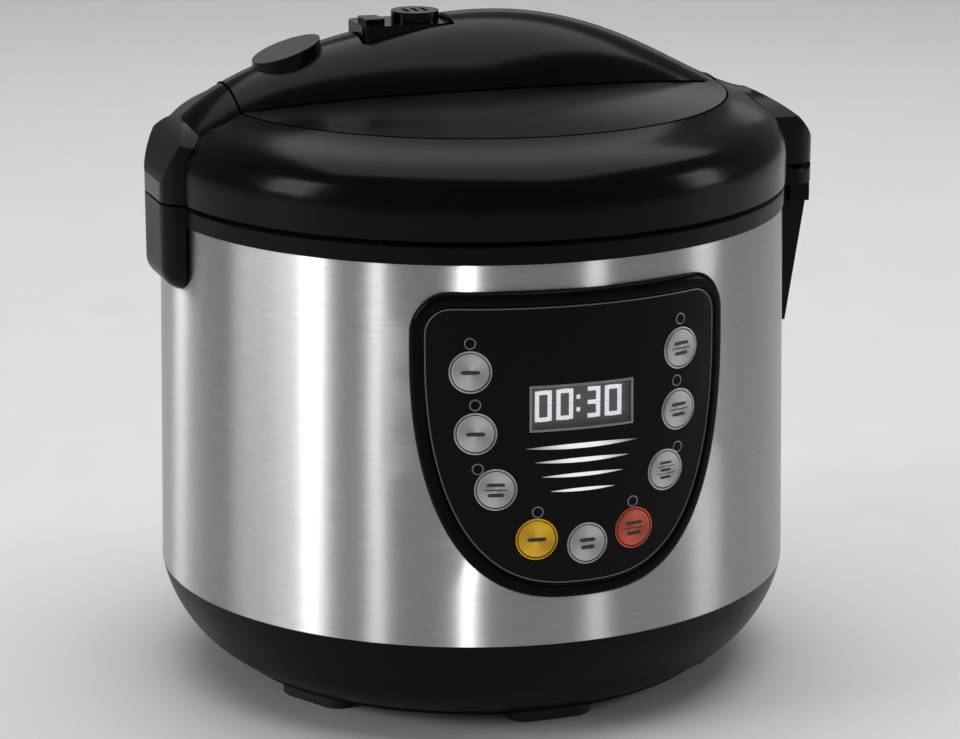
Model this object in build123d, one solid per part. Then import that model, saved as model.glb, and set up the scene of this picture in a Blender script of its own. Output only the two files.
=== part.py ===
"""Round countertop multicooker: a steel-walled body with a hinged lid, a removable pot and a keypad.

Millimetres, +Z up. Every piece is drawn about the drum's own axis, with z = 0 at the underside of
the feet. The keypad faces -Y, the latch is at -X and the hinge at +X. export() moves the
pieces sideways by AXIS_SHIFT, so that the middle of the outline lies on the origin.
"""

from build123d import *
import math
import os

# ---- overall sizes ----
DRUM_R = 135.0            # outer radius of the steel drum at its lower edge
DRUM_TOP_R = 132.0        # the drum narrows a little towards its top
DRUM_H = 155.3
DRUM_WALL = 0.8
BASE_H = 44.5             # table to the drum's lower edge
BASE_BOTTOM_R = 107.6
BASE_BELLY_R = 127.4      # base radius half way up its curved wall
BASE_WALL = 3.0
FOOT_H = 5.0
COVER_T = 2.5             # bottom cover
RING_H = 8.4              # collar between the drum and the lid
RING_PROUD = 0.6
LID_GAP = 1.0             # seam between the collar and the lid
LID_R = 133.2
LID_WALL = 2.5
DISC_R = 108.0            # crowned disc in the middle of the lid
DISC_RISE = 35.8          # lid's lower edge to the disc's seam
DISC_CROWN = 8.0
SPINE_WALL = 2.5
SPINE_END_X = 127.0
SPINE_END_HALF_W = 22.0
SPINE_BULGE = 18.0        # the spine is this much wider on each side at its middle
# the spine's crest from the latch to the hinge: (share of SPINE_END_X, height over the lid's edge)
SPINE_CREST = [(-1.0, 32.5), (-0.78, 49.1), (-0.39, 63.6), (0.0, 69.8),
               (0.39, 63.1), (0.77, 41.6), (1.0, 30.0)]

# ---- ears at the two ends of the spine ----
LATCH_REACH = 139.0
LATCH_HALF_W = 24.0
LATCH_DROP = 36.0
HINGE_REACH = 150.0
HINGE_HALF_W = 27.0
TOWER_DROP = 8.0
EAR_EDGE_R = 9.0
EAR_CORNER_R = 12.0
EAR_ROOF_DROP = 9.0       # an ear's top is arched: its sides are this much lower than its middle

# ---- pot and heating ----
POT_IN_R = 112.0
POT_WALL = 2.0
POT_DEPTH = 135.0
POT_CORNER_R = 24.0
POT_FLANGE = 7.0
WELL_GAP = 3.0
WELL_WALL = 1.0
PLATE_R = 85.0
PLATE_T = 10.0
PLATE_HOLE_R = 21.0
SENSOR_R = 19.0
SENSOR_TRAVEL = 3.0

# ---- control panel (widths are measured along the drum's curve) ----
PANEL_HALF_W = 69.5
PANEL_TOP = 189.5
PANEL_BOTTOM = 64.0
PANEL_SHOULDER = 165.0
PANEL_CORNER_R = 17.0
PANEL_FRAME_W = 6.0
PANEL_PROUD = 2.8
FACE_T = 1.4
FACE_PROUD = 2.0
TRAY_DEPTH = 9.5
WINDOW_HALF_W = 21.8
WINDOW_H = 18.6
WINDOW_Z = 142.3
DIGIT_H = 12.6
KEY_R = 7.5
KEY_FLANGE_R = 8.3
KEY_PROUD = 0.7
KEY_TRAVEL = 0.7
LENS_R = 1.8
STRIPES = [(23.8, 2.0, 126.4), (19.8, 1.8, 120.6), (17.2, 1.5, 114.6), (13.4, 1.3, 108.5)]

# keys and indicator lights: (distance along the curve, height)
KEYS = {
    "key_fry": (-45.2, 157.8),
    "key_pilaf": (-43.2, 133.0),
    "key_oatmeal": (-35.3, 110.2),
    "key_timer": (-19.0, 89.3),
    "key_cook_time": (1.7, 86.0),
    "key_reheat": (22.1, 89.8),
    "key_soup": (37.2, 111.4),
    "key_stew": (43.8, 135.4),
    "key_bake": (45.0, 160.3),
}
LENSES = [
    (-45.2, 169.3), (44.8, 172.2), (-43.2, 144.6), (43.0, 147.2),
    (-42.2, 118.7), (43.4, 119.8), (-18.6, 100.4), (21.6, 100.8),
]

# ---- lid fittings ----
BUTTON_X = -81.0
BUTTON_HALF_L = 14.0
BUTTON_HALF_W = 15.0
BUTTON_TRAVEL = 3.5
VALVE_X = -25.0
VALVE_TUBE_R = 9.0
VALVE_CAP_R = 10.0
VALVE_LIFT = 30.0

# ---- clearances ----
SLIP = 0.3                # between pieces that move past each other
FIT = 0.15                # between pieces fixed together
RUN = 0.05                # running fit of the hinge pin
STOP_GAP = 0.3            # left where one piece comes to rest on another

# ---- derived heights ----
DRUM_TOP = BASE_H + DRUM_H
RING_TOP = DRUM_TOP + RING_H
LID_Z = RING_TOP + LID_GAP
DISC_Z = LID_Z + DISC_RISE
SPINE_TOP = LID_Z + max(rise for _, rise in SPINE_CREST)
COVER_Z = FOOT_H
COVER_TOP = COVER_Z + COVER_T
POT_OUT_R = POT_IN_R + POT_WALL
FLANGE_R = POT_OUT_R + POT_FLANGE
LEDGE_Z = RING_TOP - 4.2
POT_BOTTOM = LEDGE_Z + POT_WALL - POT_DEPTH - POT_WALL
WELL_R = POT_OUT_R + WELL_GAP + WELL_WALL
PLATE_TOP = POT_BOTTOM - STOP_GAP
PLATE_Z = PLATE_TOP - PLATE_T
WELL_FLOOR = PLATE_Z - 4.0
RING_IN_R = POT_OUT_R + 1.5
LEDGE_R = FLANGE_R + 1.5
RING_R = DRUM_TOP_R + RING_PROUD
HINGE_X = HINGE_REACH - 7.0
HINGE_Z = LID_Z + 6.8
PIN_R = 2.5
PIN_HALF = HINGE_HALF_W - 3.0   # the pin stops short of the ear's rounded ends
KNUCKLE_R = 6.0
KNUCKLE_HALF_W = 9.0
EAR_SWEEP = math.hypot(HINGE_REACH - HINGE_X, HINGE_Z - LID_Z) + 2.0 * SLIP
AXIS_SHIFT = (HINGE_REACH - LATCH_REACH) / 2.0
BIG = 400.0


# ---- helpers ----
def drum_radius(z):
    """Outer radius of the drum, carried on above and below it, at height z."""
    return DRUM_R - (DRUM_R - DRUM_TOP_R) * (z - BASE_H) / DRUM_H


def turned(points):
    """A closed outline of (radius, z) points revolved about the drum's axis."""
    outline = Polyline([(r, 0, z) for r, z in points], close=True)
    return revolve(make_face(outline), Axis.Z)


def disc(radius, z0, z1):
    """An upright cylinder between two heights."""
    return Pos(0, 0, z0) * extrude(Circle(radius), z1 - z0)


def tube(outer, inner, z0, z1):
    """An upright pipe between two heights."""
    return Pos(0, 0, z0) * extrude(Circle(outer) - Circle(inner), z1 - z0)


def group(pieces):
    """Separate solids kept together as one node."""
    return Compound([solid for piece in pieces for solid in piece.solids()])


def block(x0, x1, y0, y1, z0, z1):
    """A box given by its limits."""
    middle = Pos((x0 + x1) / 2, (y0 + y1) / 2, (z0 + z1) / 2)
    return middle * Box(x1 - x0, y1 - y0, z1 - z0)


def peg(radius, y0, y1, x, z):
    """A cylinder along Y."""
    return Pos(x, (y0 + y1) / 2, z) * Rot(X=90) * Cylinder(radius, y1 - y0)


def on_wall(arc, z, near, far, radius):
    """A cylinder that points out of the drum's wall, from near to far off its surface."""
    turn = math.degrees(arc / DRUM_R)
    mid = drum_radius(z) + (near + far) / 2
    return Rot(Z=turn) * Pos(0, -mid, z) * Rot(X=90) * Cylinder(radius, far - near)


def wall_skin(near, far, z0, z1):
    """The space between two offsets of the drum's tapered wall."""
    return turned([
        (drum_radius(z0) + near, z0), (drum_radius(z0) + far, z0),
        (drum_radius(z1) + far, z1), (drum_radius(z1) + near, z1),
    ])


def across(arc):
    """Sideways distance of a point that lies an arc length round the drum."""
    return DRUM_R * math.sin(arc / DRUM_R)


def shield(inset):
    """The panel's outline drawn inset from its edge, as a bar along Y.

    Below the shoulder the half width is W cos(a)^0.724 at a depth of H sin(a)^0.909.
    """
    width = PANEL_HALF_W - inset
    top = PANEL_TOP - inset
    depth = PANEL_SHOULDER - PANEL_BOTTOM - inset
    corner = PANEL_CORNER_R - inset
    right = []
    for step in range(9):
        a = math.radians(10 * step)
        half = width * math.cos(a) ** 0.724
        right.append((across(half), PANEL_SHOULDER - depth * math.sin(a) ** 0.909))
    lower = right + [(0.0, PANEL_SHOULDER - depth)] + [(-x, z) for x, z in reversed(right)]
    side = across(width)
    inner = across(width - corner)
    edges = [
        Spline(lower, tangents=[(0, -1), (0, 1)]),
        Line((-side, PANEL_SHOULDER), (-side, top - corner)),
        RadiusArc((-side, top - corner), (-inner, top), corner),
        Line((-inner, top), (inner, top)),
        RadiusArc((inner, top), (side, top - corner), corner),
        Line((side, top - corner), (side, PANEL_SHOULDER)),
    ]
    face = make_face(Curve() + edges)
    return Rot(X=90) * extrude(face, 1.2 * DRUM_R)


def panel_skin(near, far):
    """Wall skin over the panel's full height."""
    return wall_skin(near, far, PANEL_BOTTOM - 5, PANEL_TOP + 5)


def round_bar(width, height, x, z, corner):
    """A bar along -Y with a rounded rectangular section."""
    return Pos(x, 0, z) * Rot(X=90) * extrude(RectangleRounded(width, height, corner), 1.2 * DRUM_R)


def ear_block(side, reach, half_width, z0, z1, edge):
    """A block that stands out of the drum along X, its outer upright edges rounded."""
    bar = block(0, reach, -half_width, half_width, z0, z1)
    bar = fillet(bar.edges().filter_by(Axis.Z).group_by(Axis.X)[-1], edge)
    return bar if side > 0 else Rot(Z=180) * bar


# ---- base ----
def base_wall_face(inset):
    """Section of the base's curved wall, from the axis out."""
    outer = ThreePointArc(
        (BASE_BOTTOM_R - inset, COVER_TOP - 1), (BASE_BELLY_R - inset, (BASE_H + COVER_TOP) / 2 - 1),
        (DRUM_R - inset, BASE_H),
    )
    edges = [
        outer,
        Line((DRUM_R - inset, BASE_H), (0, BASE_H)),
        Line((0, BASE_H), (0, COVER_TOP - 1)),
        Line((0, COVER_TOP - 1), (BASE_BOTTOM_R - inset, COVER_TOP - 1)),
    ]
    return revolve(Plane.XZ * make_face(Curve() + edges), Axis.Z)


INLET_Y = DRUM_R - 5.5
INLET_Z = COVER_TOP + 18.0
INLET_HALF_W = 14.0
INLET_HALF_H = 10.5
INLET_DEPTH = 26.0


def base_shell():
    """Moulded base: curved wall, a spigot inside the drum and a flat boss for the mains inlet."""
    spigot_r = DRUM_R - DRUM_WALL - FIT - 0.2
    shell = base_wall_face(0) - base_wall_face(BASE_WALL)
    shell += tube(spigot_r, spigot_r - BASE_WALL, BASE_H - 3, BASE_H + 6)
    boss = block(-21, 21, INLET_Y - INLET_DEPTH, INLET_Y, COVER_TOP - 1, BASE_H - 3)
    shell += boss - disc(BASE_BOTTOM_R - 8, 0, BASE_H)
    shell -= block(-22, 22, INLET_Y, BIG, 0, INLET_Z + INLET_HALF_H + 2.5)
    room = block(-INLET_HALF_W - FIT, INLET_HALF_W + FIT, INLET_Y - 60, INLET_Y + 10,
                 INLET_Z - INLET_HALF_H - FIT, INLET_Z + INLET_HALF_H + FIT)
    shell -= room
    for x, y in screw_circle():
        shell += Pos(x, y, COVER_TOP) * extrude(Circle(4.5) - Circle(1.4), 12)
    for x, y in screw_circle():
        shell += block(-2, 2, 0, 14, COVER_TOP, COVER_TOP + 12).moved(
            Location((x, y, 0), (0, 0, math.degrees(math.atan2(y, x)) - 90))
        ) - Pos(x, y, 0) * disc(4, 0, 60) - base_outside()
    return shell


def base_outside():
    """Everything outside the middle of the base's wall."""
    return disc(BIG, 0, BASE_H) - base_wall_face(BASE_WALL / 2)


def screw_circle():
    """Places of the six bottom screws, half way between the feet."""
    radius = BASE_BOTTOM_R - 12
    return [
        (radius * math.cos(math.radians(a)), radius * math.sin(math.radians(a)))
        for a in range(0, 360, 60)
    ]


def bottom_cover():
    """Round plate with vent slots that closes the base."""
    plate = disc(BASE_BOTTOM_R - 1.2, COVER_Z, COVER_TOP - 1)
    plate += disc(BASE_BOTTOM_R - BASE_WALL - 1.0, COVER_TOP - 1, COVER_TOP)
    for x, y in screw_circle():
        plate -= Pos(x, y, 0) * disc(2.0, 0, 20)
        plate -= Pos(x, y, 0) * disc(3.8, 0, COVER_Z + 1.0)
    for row in range(-3, 4):
        plate -= Pos(0, 11.0 * row, 0) * extrude(SlotOverall(60, 4), 20)
    return plate


def foot_pads():
    """Six oval rubber feet."""
    pads = []
    for turn in range(30, 390, 60):
        pad = Pos(BASE_BOTTOM_R - 11, 0, 0) * extrude(SlotOverall(37, 17, 90), FOOT_H)
        pad = chamfer(pad.faces().sort_by(Axis.Z)[0].edges(), 0.8)
        pads.append(Rot(Z=turn) * pad)
    return group(pads)


def base_screws():
    """Six screws through the bottom cover."""
    screws = []
    for x, y in screw_circle():
        head = disc(3.4, COVER_Z, COVER_Z + 1.0)
        screws.append(Pos(x, y, 0) * (head + disc(1.35, COVER_Z + 1.0, COVER_TOP + 9)))
    return group(screws)


def inlet_blades(margin):
    """The three blades of the mains inlet, grown by a margin all round."""
    blades = []
    for x, z in ((-7, -1.5), (0, 2.5), (7, -1.5)):
        blades.append(block(x - 1 - margin, x + 1 + margin, INLET_Y - INLET_DEPTH - 8, INLET_Y - 4,
                            INLET_Z + z - 2 - margin, INLET_Z + z + 2 + margin))
    return group(blades)


def mains_inlet():
    """Three-pin appliance inlet with an open socket and a screwed flange."""
    inside_w = INLET_HALF_W - 2.0
    inside_h = INLET_HALF_H - 2.2
    body = block(-INLET_HALF_W, INLET_HALF_W, INLET_Y - INLET_DEPTH, INLET_Y,
                 INLET_Z - INLET_HALF_H, INLET_Z + INLET_HALF_H)
    body += block(-INLET_HALF_W - 7, INLET_HALF_W + 7, INLET_Y, INLET_Y + 2,
                  INLET_Z - INLET_HALF_H - 1.5, INLET_Z + INLET_HALF_H + 1.5)
    body -= block(-inside_w, inside_w, INLET_Y - INLET_DEPTH + 6, INLET_Y + 3,
                  INLET_Z - inside_h, INLET_Z + inside_h)
    return body - inlet_blades(0.02)


# ---- drum and collar ----
def steel_drum():
    """Tapered steel wall with a window behind the panel."""
    drum = wall_skin(-DRUM_WALL, 0, BASE_H, DRUM_TOP)
    return drum - shield(2.5)


def top_ring():
    """Collar: outer lip, the ledge that carries the pot, a spigot in the drum and the latch slot."""
    ring = turned([
        (RING_R, DRUM_TOP), (RING_R, RING_TOP - 1.5), (RING_R - 1.5, RING_TOP),
        (LEDGE_R, RING_TOP), (LEDGE_R, LEDGE_Z), (RING_IN_R, LEDGE_Z), (RING_IN_R, LEDGE_Z - 3),
        (LEDGE_R + 2, LEDGE_Z - 3), (LEDGE_R + 2, RING_TOP - 2.5), (RING_R - 2.5, RING_TOP - 2.5),
        (RING_R - 2.5, DRUM_TOP - 6), (drum_radius(DRUM_TOP - 6) - DRUM_WALL - FIT - 0.2, DRUM_TOP - 6),
        (drum_radius(DRUM_TOP) - DRUM_WALL - FIT - 0.2, DRUM_TOP),
    ])
    return ring - latch_slot()


LATCH_SHANK_X = -(RING_R - 7.1)      # inner face of the latch's upright shank
LATCH_SHANK_T = 3.0
LATCH_NOSE = 2.7
LATCH_HALF = 8.0
CATCH_UNDER = RING_TOP - 5.0


def latch_slot():
    """Opening in the collar for the latch's nose, with room for its travel."""
    return block(LATCH_SHANK_X - LATCH_SHANK_T - LATCH_NOSE - 0.4,
                 LATCH_SHANK_X + BUTTON_TRAVEL + 0.8, -LATCH_HALF - 2, LATCH_HALF + 2,
                 DRUM_TOP - 7, RING_TOP + 1)


def latch_catch():
    """Steel lip at the slot's outer edge that the latch's nose hooks under."""
    x0 = LATCH_SHANK_X - LATCH_SHANK_T - LATCH_NOSE - 0.2
    lip = block(x0, x0 + 2.3, -LATCH_HALF - 2, LATCH_HALF + 2, CATCH_UNDER, RING_TOP - 2.5)
    return lip


def latch_pillar():
    """Ear below the collar on the latch side, fixed to the drum's outside."""
    block_z0 = RING_TOP - LATCH_DROP
    ear = ear_block(-1, LATCH_REACH, LATCH_HALF_W, block_z0, RING_TOP, EAR_CORNER_R)
    ear = fillet(ear.edges().filter_by(Axis.X).group_by(Axis.Z)[0], EAR_EDGE_R)
    return ear - disc(RING_R + FIT, 0, BIG)


def hinge_tower():
    """Ear below the collar on the hinge side, with the knuckle and the cup's rails."""
    z0 = RING_TOP - TOWER_DROP
    tower = ear_block(1, HINGE_REACH, HINGE_HALF_W, z0, RING_TOP, EAR_CORNER_R)
    tower -= peg(EAR_SWEEP, -BIG, BIG, HINGE_X, HINGE_Z)
    post = block(HINGE_X - KNUCKLE_R, HINGE_X + KNUCKLE_R, -KNUCKLE_HALF_W, KNUCKLE_HALF_W,
                 z0 + 2, HINGE_Z)
    tower += post + peg(KNUCKLE_R, -KNUCKLE_HALF_W, KNUCKLE_HALF_W, HINGE_X, HINGE_Z)
    tower -= peg(PIN_R + RUN, -BIG, BIG, HINGE_X, HINGE_Z)
    for side in (-1, 1):
        y0, y1 = sorted((side * RAIL_IN, side * RAIL_OUT))
        rail = block(HINGE_REACH - 12, HINGE_REACH - 3, y0, y1, z0 - RAIL_H, z0)
        rail -= block(0, BIG, side * RAIL_IN - 1.6, side * RAIL_IN + 1.6,
                      TONGUE_Z - SLIP, TONGUE_Z + TONGUE_T + SLIP)
        tower += rail
    return tower - disc(RING_R + FIT, 0, BIG)


# ---- condensate cup ----
CUP_HALF_W = 20.0
CUP_H = 62.0
CUP_WALL = 1.6
CUP_PULL = 30.0
RAIL_IN = CUP_HALF_W + SLIP
RAIL_OUT = CUP_HALF_W + 3.5
RAIL_H = 8.0
TONGUE_T = 2.2
CUP_TOP = RING_TOP - TOWER_DROP - 2.0 * SLIP
TONGUE_Z = CUP_TOP - 4.5


def cup_body(shrink, top, bottom):
    """Solid outline of the cup, drawn in by a wall's thickness."""
    half = CUP_HALF_W - shrink
    inner_x = drum_radius(BASE_H) + SLIP + shrink
    top_x = HINGE_REACH - 2.0 - shrink
    low_x = inner_x + 5.0 - shrink
    upper = Plane((0, 0, top)) * make_face(Polyline([
        (inner_x, -half), (top_x, -half), (top_x, half), (inner_x, half)], close=True))
    lower = Plane((0, 0, bottom)) * make_face(Polyline([
        (inner_x, -half * 0.8), (low_x, -half * 0.8), (low_x, half * 0.8), (inner_x, half * 0.8)],
        close=True))
    return loft([lower, upper])


def condensate_cup():
    """Tapered open cup under the hinge that slides out on two tongues."""
    low = CUP_TOP - CUP_H
    cup = cup_body(0, CUP_TOP, low)
    for side in (-1, 1):
        y0, y1 = sorted((side * (CUP_HALF_W - 1), side * (CUP_HALF_W + 1.4)))
        cup += block(HINGE_REACH - 11, HINGE_REACH - 4, y0, y1, TONGUE_Z, TONGUE_Z + TONGUE_T)
    return cup - cup_body(CUP_WALL, CUP_TOP + 0.01, low + CUP_WALL)


# ---- panel ----
def panel_bezel():
    """Panel frame with a bevelled edge, a tray wall through the drum and a ledge for the face."""
    frame = (shield(0) & panel_skin(0.1, 1.4)) - shield(PANEL_FRAME_W)
    frame += (shield(1.4) & panel_skin(1.4, PANEL_PROUD)) - shield(PANEL_FRAME_W)
    tray = (shield(2.9) & panel_skin(-TRAY_DEPTH, 0.1)) - shield(4.9)
    ledge = (shield(4.9) & panel_skin(-1.0, 0.4)) - shield(8.0)
    return frame + tray + ledge


def window_bar(grow):
    """The display opening as a bar along -Y."""
    return round_bar(2 * (across(WINDOW_HALF_W) + grow), WINDOW_H + 2 * grow, 0, WINDOW_Z, 1.2)


def panel_face():
    """Gloss face with openings for the keys, lights and display."""
    face = shield(PANEL_FRAME_W + FIT) & panel_skin(FACE_PROUD - FACE_T, FACE_PROUD)
    face -= window_bar(FIT)
    for arc, z in KEYS.values():
        face -= on_wall(arc, z, -4, 6, KEY_R + SLIP)
    for arc, z in LENSES:
        face -= on_wall(arc, z, -4, 6, LENS_R + FIT)
    return face


def display_window():
    """Tinted clear pane over the display."""
    return window_bar(0) & panel_skin(FACE_PROUD - FACE_T, FACE_PROUD)


def accent_stripes():
    """Four thin crescent trims below the display, pointed at both ends."""
    trims = []
    for half, thick, z in STRIPES:
        end = across(half)
        lens = make_face(Curve() + [
            ThreePointArc((-end, z), (0, z + thick / 2), (end, z)),
            ThreePointArc((end, z), (0, z - thick / 2), (-end, z)),
        ])
        bar = Rot(X=90) * extrude(lens, 1.2 * DRUM_R)
        trims.append(bar & panel_skin(FACE_PROUD, FACE_PROUD + 0.25))
    return group(trims)


def key(name):
    """Round key: cap, retaining flange and stem, pointing out of the wall."""
    arc, z = KEYS[name]
    cap = on_wall(arc, z, -0.1, FACE_PROUD + KEY_PROUD, KEY_R)
    flange = on_wall(arc, z, -1.3, -0.1, KEY_FLANGE_R)
    stem = on_wall(arc, z, STEM_END, -1.3, 2.5)
    return cap + flange + stem


CIRCUIT_FAR = -6.4        # membrane circuit's outer face, from the drum's surface
CIRCUIT_T = 0.6
DOME_H = 0.8
STEM_END = CIRCUIT_FAR + DOME_H + KEY_TRAVEL + STOP_GAP


def module_bar():
    """Opening behind the display, as a bar along -Y."""
    return round_bar(2 * MODULE_HALF_W + 4, MODULE_H + 4, 0, WINDOW_Z, 2)


MODULE_HALF_W = 24.0
MODULE_H = 22.0
BOARD_T = 1.6
BOARD_HALF_W = 25.0
BOARD_TOP = 170.0
BOARD_Y = BOARD_T + SLIP - math.sqrt((drum_radius(BOARD_TOP) - TRAY_DEPTH) ** 2 - BOARD_HALF_W ** 2)
MODULE_FRONT = -math.sqrt((DRUM_TOP_R + 1) ** 2 - MODULE_HALF_W ** 2) + 0.6


def keypad_carrier():
    """Curved plate that backs the membrane circuit."""
    plate = shield(5.1) & panel_skin(-TRAY_DEPTH, CIRCUIT_FAR - CIRCUIT_T)
    plate -= module_bar()
    return plate


def membrane_circuit():
    """Curved flexible circuit with one switch site per key and light."""
    return (shield(6.5) & panel_skin(CIRCUIT_FAR - CIRCUIT_T, CIRCUIT_FAR)) - module_bar()


def switch_domes():
    """Nine metal domes on the membrane circuit."""
    return group([
        on_wall(arc, z, CIRCUIT_FAR + FIT, CIRCUIT_FAR + DOME_H, 4.0) for arc, z in KEYS.values()
    ])


def indicator_lenses():
    """Eight small lenses, each a light pipe from the circuit to the face."""
    return group([
        on_wall(arc, z, CIRCUIT_FAR + FIT, FACE_PROUD + 0.2, LENS_R)
        for arc, z in LENSES
    ])


def display_module():
    """Display block on its board."""
    return block(-MODULE_HALF_W, MODULE_HALF_W, MODULE_FRONT, BOARD_Y - BOARD_T,
                 WINDOW_Z - MODULE_H / 2, WINDOW_Z + MODULE_H / 2)


def display_digits():
    """Four seven-segment digits and a colon in front of the display block."""
    bars = []
    size = DIGIT_H
    wide = 0.55 * size
    thick = 0.13 * size
    for place, lit in ((-15.0, "abcdef"), (-6.0, "abcdef"), (5.4, "abgcd"), (14.4, "abcdef")):
        for name in lit:
            bars.append(segment(place, name, size, wide, thick))
    for z in (-2.6, 2.6):
        bars.append(block(-1.0, 0.4, MODULE_FRONT - 0.4, MODULE_FRONT,
                          WINDOW_Z + z - 0.8, WINDOW_Z + z + 0.8))
    return group(bars)


def segment(x, name, size, wide, thick):
    """One bar of a digit, a to g."""
    gap = 0.12
    half = size / 2
    flat = {"a": half - thick / 2, "g": 0.0, "d": -half + thick / 2}
    if name in flat:
        z = WINDOW_Z + flat[name]
        return block(x - wide / 2 + thick + gap, x + wide / 2 - thick - gap,
                     MODULE_FRONT - 0.4, MODULE_FRONT, z - thick / 2, z + thick / 2)
    side = 1 if name in "bc" else -1
    low = -half if name in "ce" else 0.0
    mid = x + side * (wide - thick) / 2
    return block(mid - thick / 2, mid + thick / 2, MODULE_FRONT - 0.4, MODULE_FRONT,
                 WINDOW_Z + low + gap, WINDOW_Z + low + half - gap)


def control_board():
    """Flat board behind the keypad."""
    return block(-BOARD_HALF_W, BOARD_HALF_W, BOARD_Y - BOARD_T, BOARD_Y, BOARD_TOP - 78, BOARD_TOP)


# ---- pot, well and heater ----
def cooking_pot():
    """Removable bowl with a rounded bottom corner and a flat flange that rests on the collar."""
    top = LEDGE_Z + POT_WALL
    outer = disc(POT_OUT_R, POT_BOTTOM, top)
    outer = fillet(outer.edges().sort_by(Axis.Z)[0], POT_CORNER_R + POT_WALL)
    outer += disc(FLANGE_R, LEDGE_Z, top)
    inner = disc(POT_IN_R, POT_BOTTOM + POT_WALL, top + 1)
    inner = fillet(inner.edges().sort_by(Axis.Z)[0], POT_CORNER_R)
    return outer - inner


def inner_well():
    """Sheet-metal well that guards the pot, open at the middle of its floor."""
    well = tube(WELL_R, WELL_R - WELL_WALL, WELL_FLOOR - WELL_WALL, LEDGE_Z - 4)
    well += tube(WELL_R + 5, WELL_R - WELL_WALL, LEDGE_Z - 4, LEDGE_Z - 3)
    well += tube(WELL_R, 30, WELL_FLOOR - WELL_WALL, WELL_FLOOR)
    for turn in HEATER_POST_TURNS:
        well -= Rot(Z=turn) * Pos(PLATE_R - 18, 0, 0) * disc(2.0, 0, BIG)
    return well - latch_slot()


HEATER_POST_TURNS = (90, 210, 330)


def heater_plate():
    """Cast plate with a bevelled rim, a middle hole for the sensor and a ring element below."""
    plate = tube(PLATE_R, PLATE_HOLE_R, PLATE_Z, PLATE_TOP)
    plate = chamfer(plate.edges().group_by(Axis.Z)[-1].sort_by(SortBy.RADIUS)[-1], 6.0)
    return plate


def heater_posts():
    """Three shouldered studs that carry the heater plate on the well's floor."""
    posts = []
    for turn in HEATER_POST_TURNS:
        post = disc(5.0, WELL_FLOOR, PLATE_Z) + disc(1.9, WELL_FLOOR - 8, WELL_FLOOR)
        posts.append(Rot(Z=turn) * Pos(PLATE_R - 18, 0, 0) * post)
    return group(posts)


def sensor_cap():
    """Sprung temperature sensor button in the middle of the heater plate."""
    cap = disc(SENSOR_R, PLATE_Z - 1.5, PLATE_TOP)
    cap = fillet(cap.edges().sort_by(Axis.Z)[-1], 1.5)
    return cap - disc(SENSOR_R - 1.5, PLATE_Z - 4, PLATE_TOP - 2)


SLEEVE_R = 12.0
SPRING_WIRE = 1.2


def sensor_sleeve():
    """Fixed guide cup below the sensor, on a cross plate under the well's floor."""
    sleeve = tube(SLEEVE_R, SLEEVE_R - 1.2, WELL_FLOOR - 10, PLATE_TOP - 2 - SENSOR_TRAVEL - 1)
    sleeve += disc(SLEEVE_R, WELL_FLOOR - 11.2, WELL_FLOOR - 10)
    sleeve += tube(34, SLEEVE_R, WELL_FLOOR - 4, WELL_FLOOR - WELL_WALL)
    return sleeve


def coil(radius, wire, z0, z1, turns, x=0.0):
    """Compression spring between two heights."""
    height = z1 - z0 - wire
    path = Helix(pitch=height / turns, height=height, radius=radius)
    start = Plane(path @ 0, z_dir=path % 0)
    wire_solid = sweep(start * Circle(wire / 2), path=path, is_frenet=True)
    return Pos(x, 0, z0 + wire / 2) * wire_solid


def sensor_spring():
    """Compression spring under the sensor, outside its sleeve."""
    return coil(SLEEVE_R + 2.4, SPRING_WIRE, WELL_FLOOR, PLATE_TOP - 2, 4)


# ---- electrics in the base ----
POWER_Z = COVER_TOP + 9.0


def power_board():
    """Flat power board on the bottom cover."""
    board = block(-52, 34, -48, 40, POWER_Z, POWER_Z + BOARD_T)
    for x, y in POWER_HOLES:
        board -= Pos(x, y, 0) * disc(1.8, 0, BIG)
    return board


POWER_HOLES = [(-48, -44), (30, -44), (30, 36), (-48, 36)]


def board_posts():
    """Four stand-offs between the power board and the bottom cover."""
    posts = []
    for x, y in POWER_HOLES:
        post = disc(3.2, COVER_TOP, POWER_Z) + disc(1.7, POWER_Z, POWER_Z + BOARD_T + 1.5)
        posts.append(Pos(x, y, 0) * post)
    return group(posts)


def transformer():
    """Small mains transformer."""
    z0 = POWER_Z + BOARD_T
    core = block(-44, -14, -36, -10, z0, z0 + 18)
    return fillet(core.edges().filter_by(Axis.Z), 2.0)


def heater_relay():
    """Relay that switches the heater."""
    z0 = POWER_Z + BOARD_T
    return block(4, 23, -38, -22, z0, z0 + 15.5)


def capacitors():
    """Two round capacitors and a flat mains filter capacitor."""
    z0 = POWER_Z + BOARD_T
    return group([
        Pos(-32, 14, 0) * disc(6.3, z0, z0 + 17),
        Pos(-14, 14, 0) * disc(5.0, z0, z0 + 14),
        block(4, 22, 4, 12, z0, z0 + 13),
    ])


# ---- lid ----
CROWN_SPHERE = (DISC_R ** 2 + DISC_CROWN ** 2) / (2.0 * DISC_CROWN)
HALF_WAY_DROP = CROWN_SPHERE - math.sqrt(CROWN_SPHERE ** 2 - DISC_R ** 2 / 4.0)


def dome(inset):
    """Solid under the lid's outer surface: upright rim, curved shoulder and shallow crown."""
    rim = LID_R - inset
    foot = LID_Z - inset
    seam = (DISC_R, DISC_Z - inset)
    crown = DISC_Z + DISC_CROWN - inset
    edges = [
        Line((0, foot), (rim, foot)),
        Line((rim, foot), (rim, LID_Z + 10)),
        Spline((rim, LID_Z + 10), (rim - 8.2, LID_Z + 27.0 - inset / 2), seam,
               tangents=[(0, 1), (-1, 0.8)]),
        ThreePointArc(seam, (DISC_R / 2, crown - HALF_WAY_DROP), (0, crown)),
        Line((0, crown), (0, foot)),
    ]
    return revolve(Plane.XZ * make_face(Curve() + edges), Axis.Z)


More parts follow.
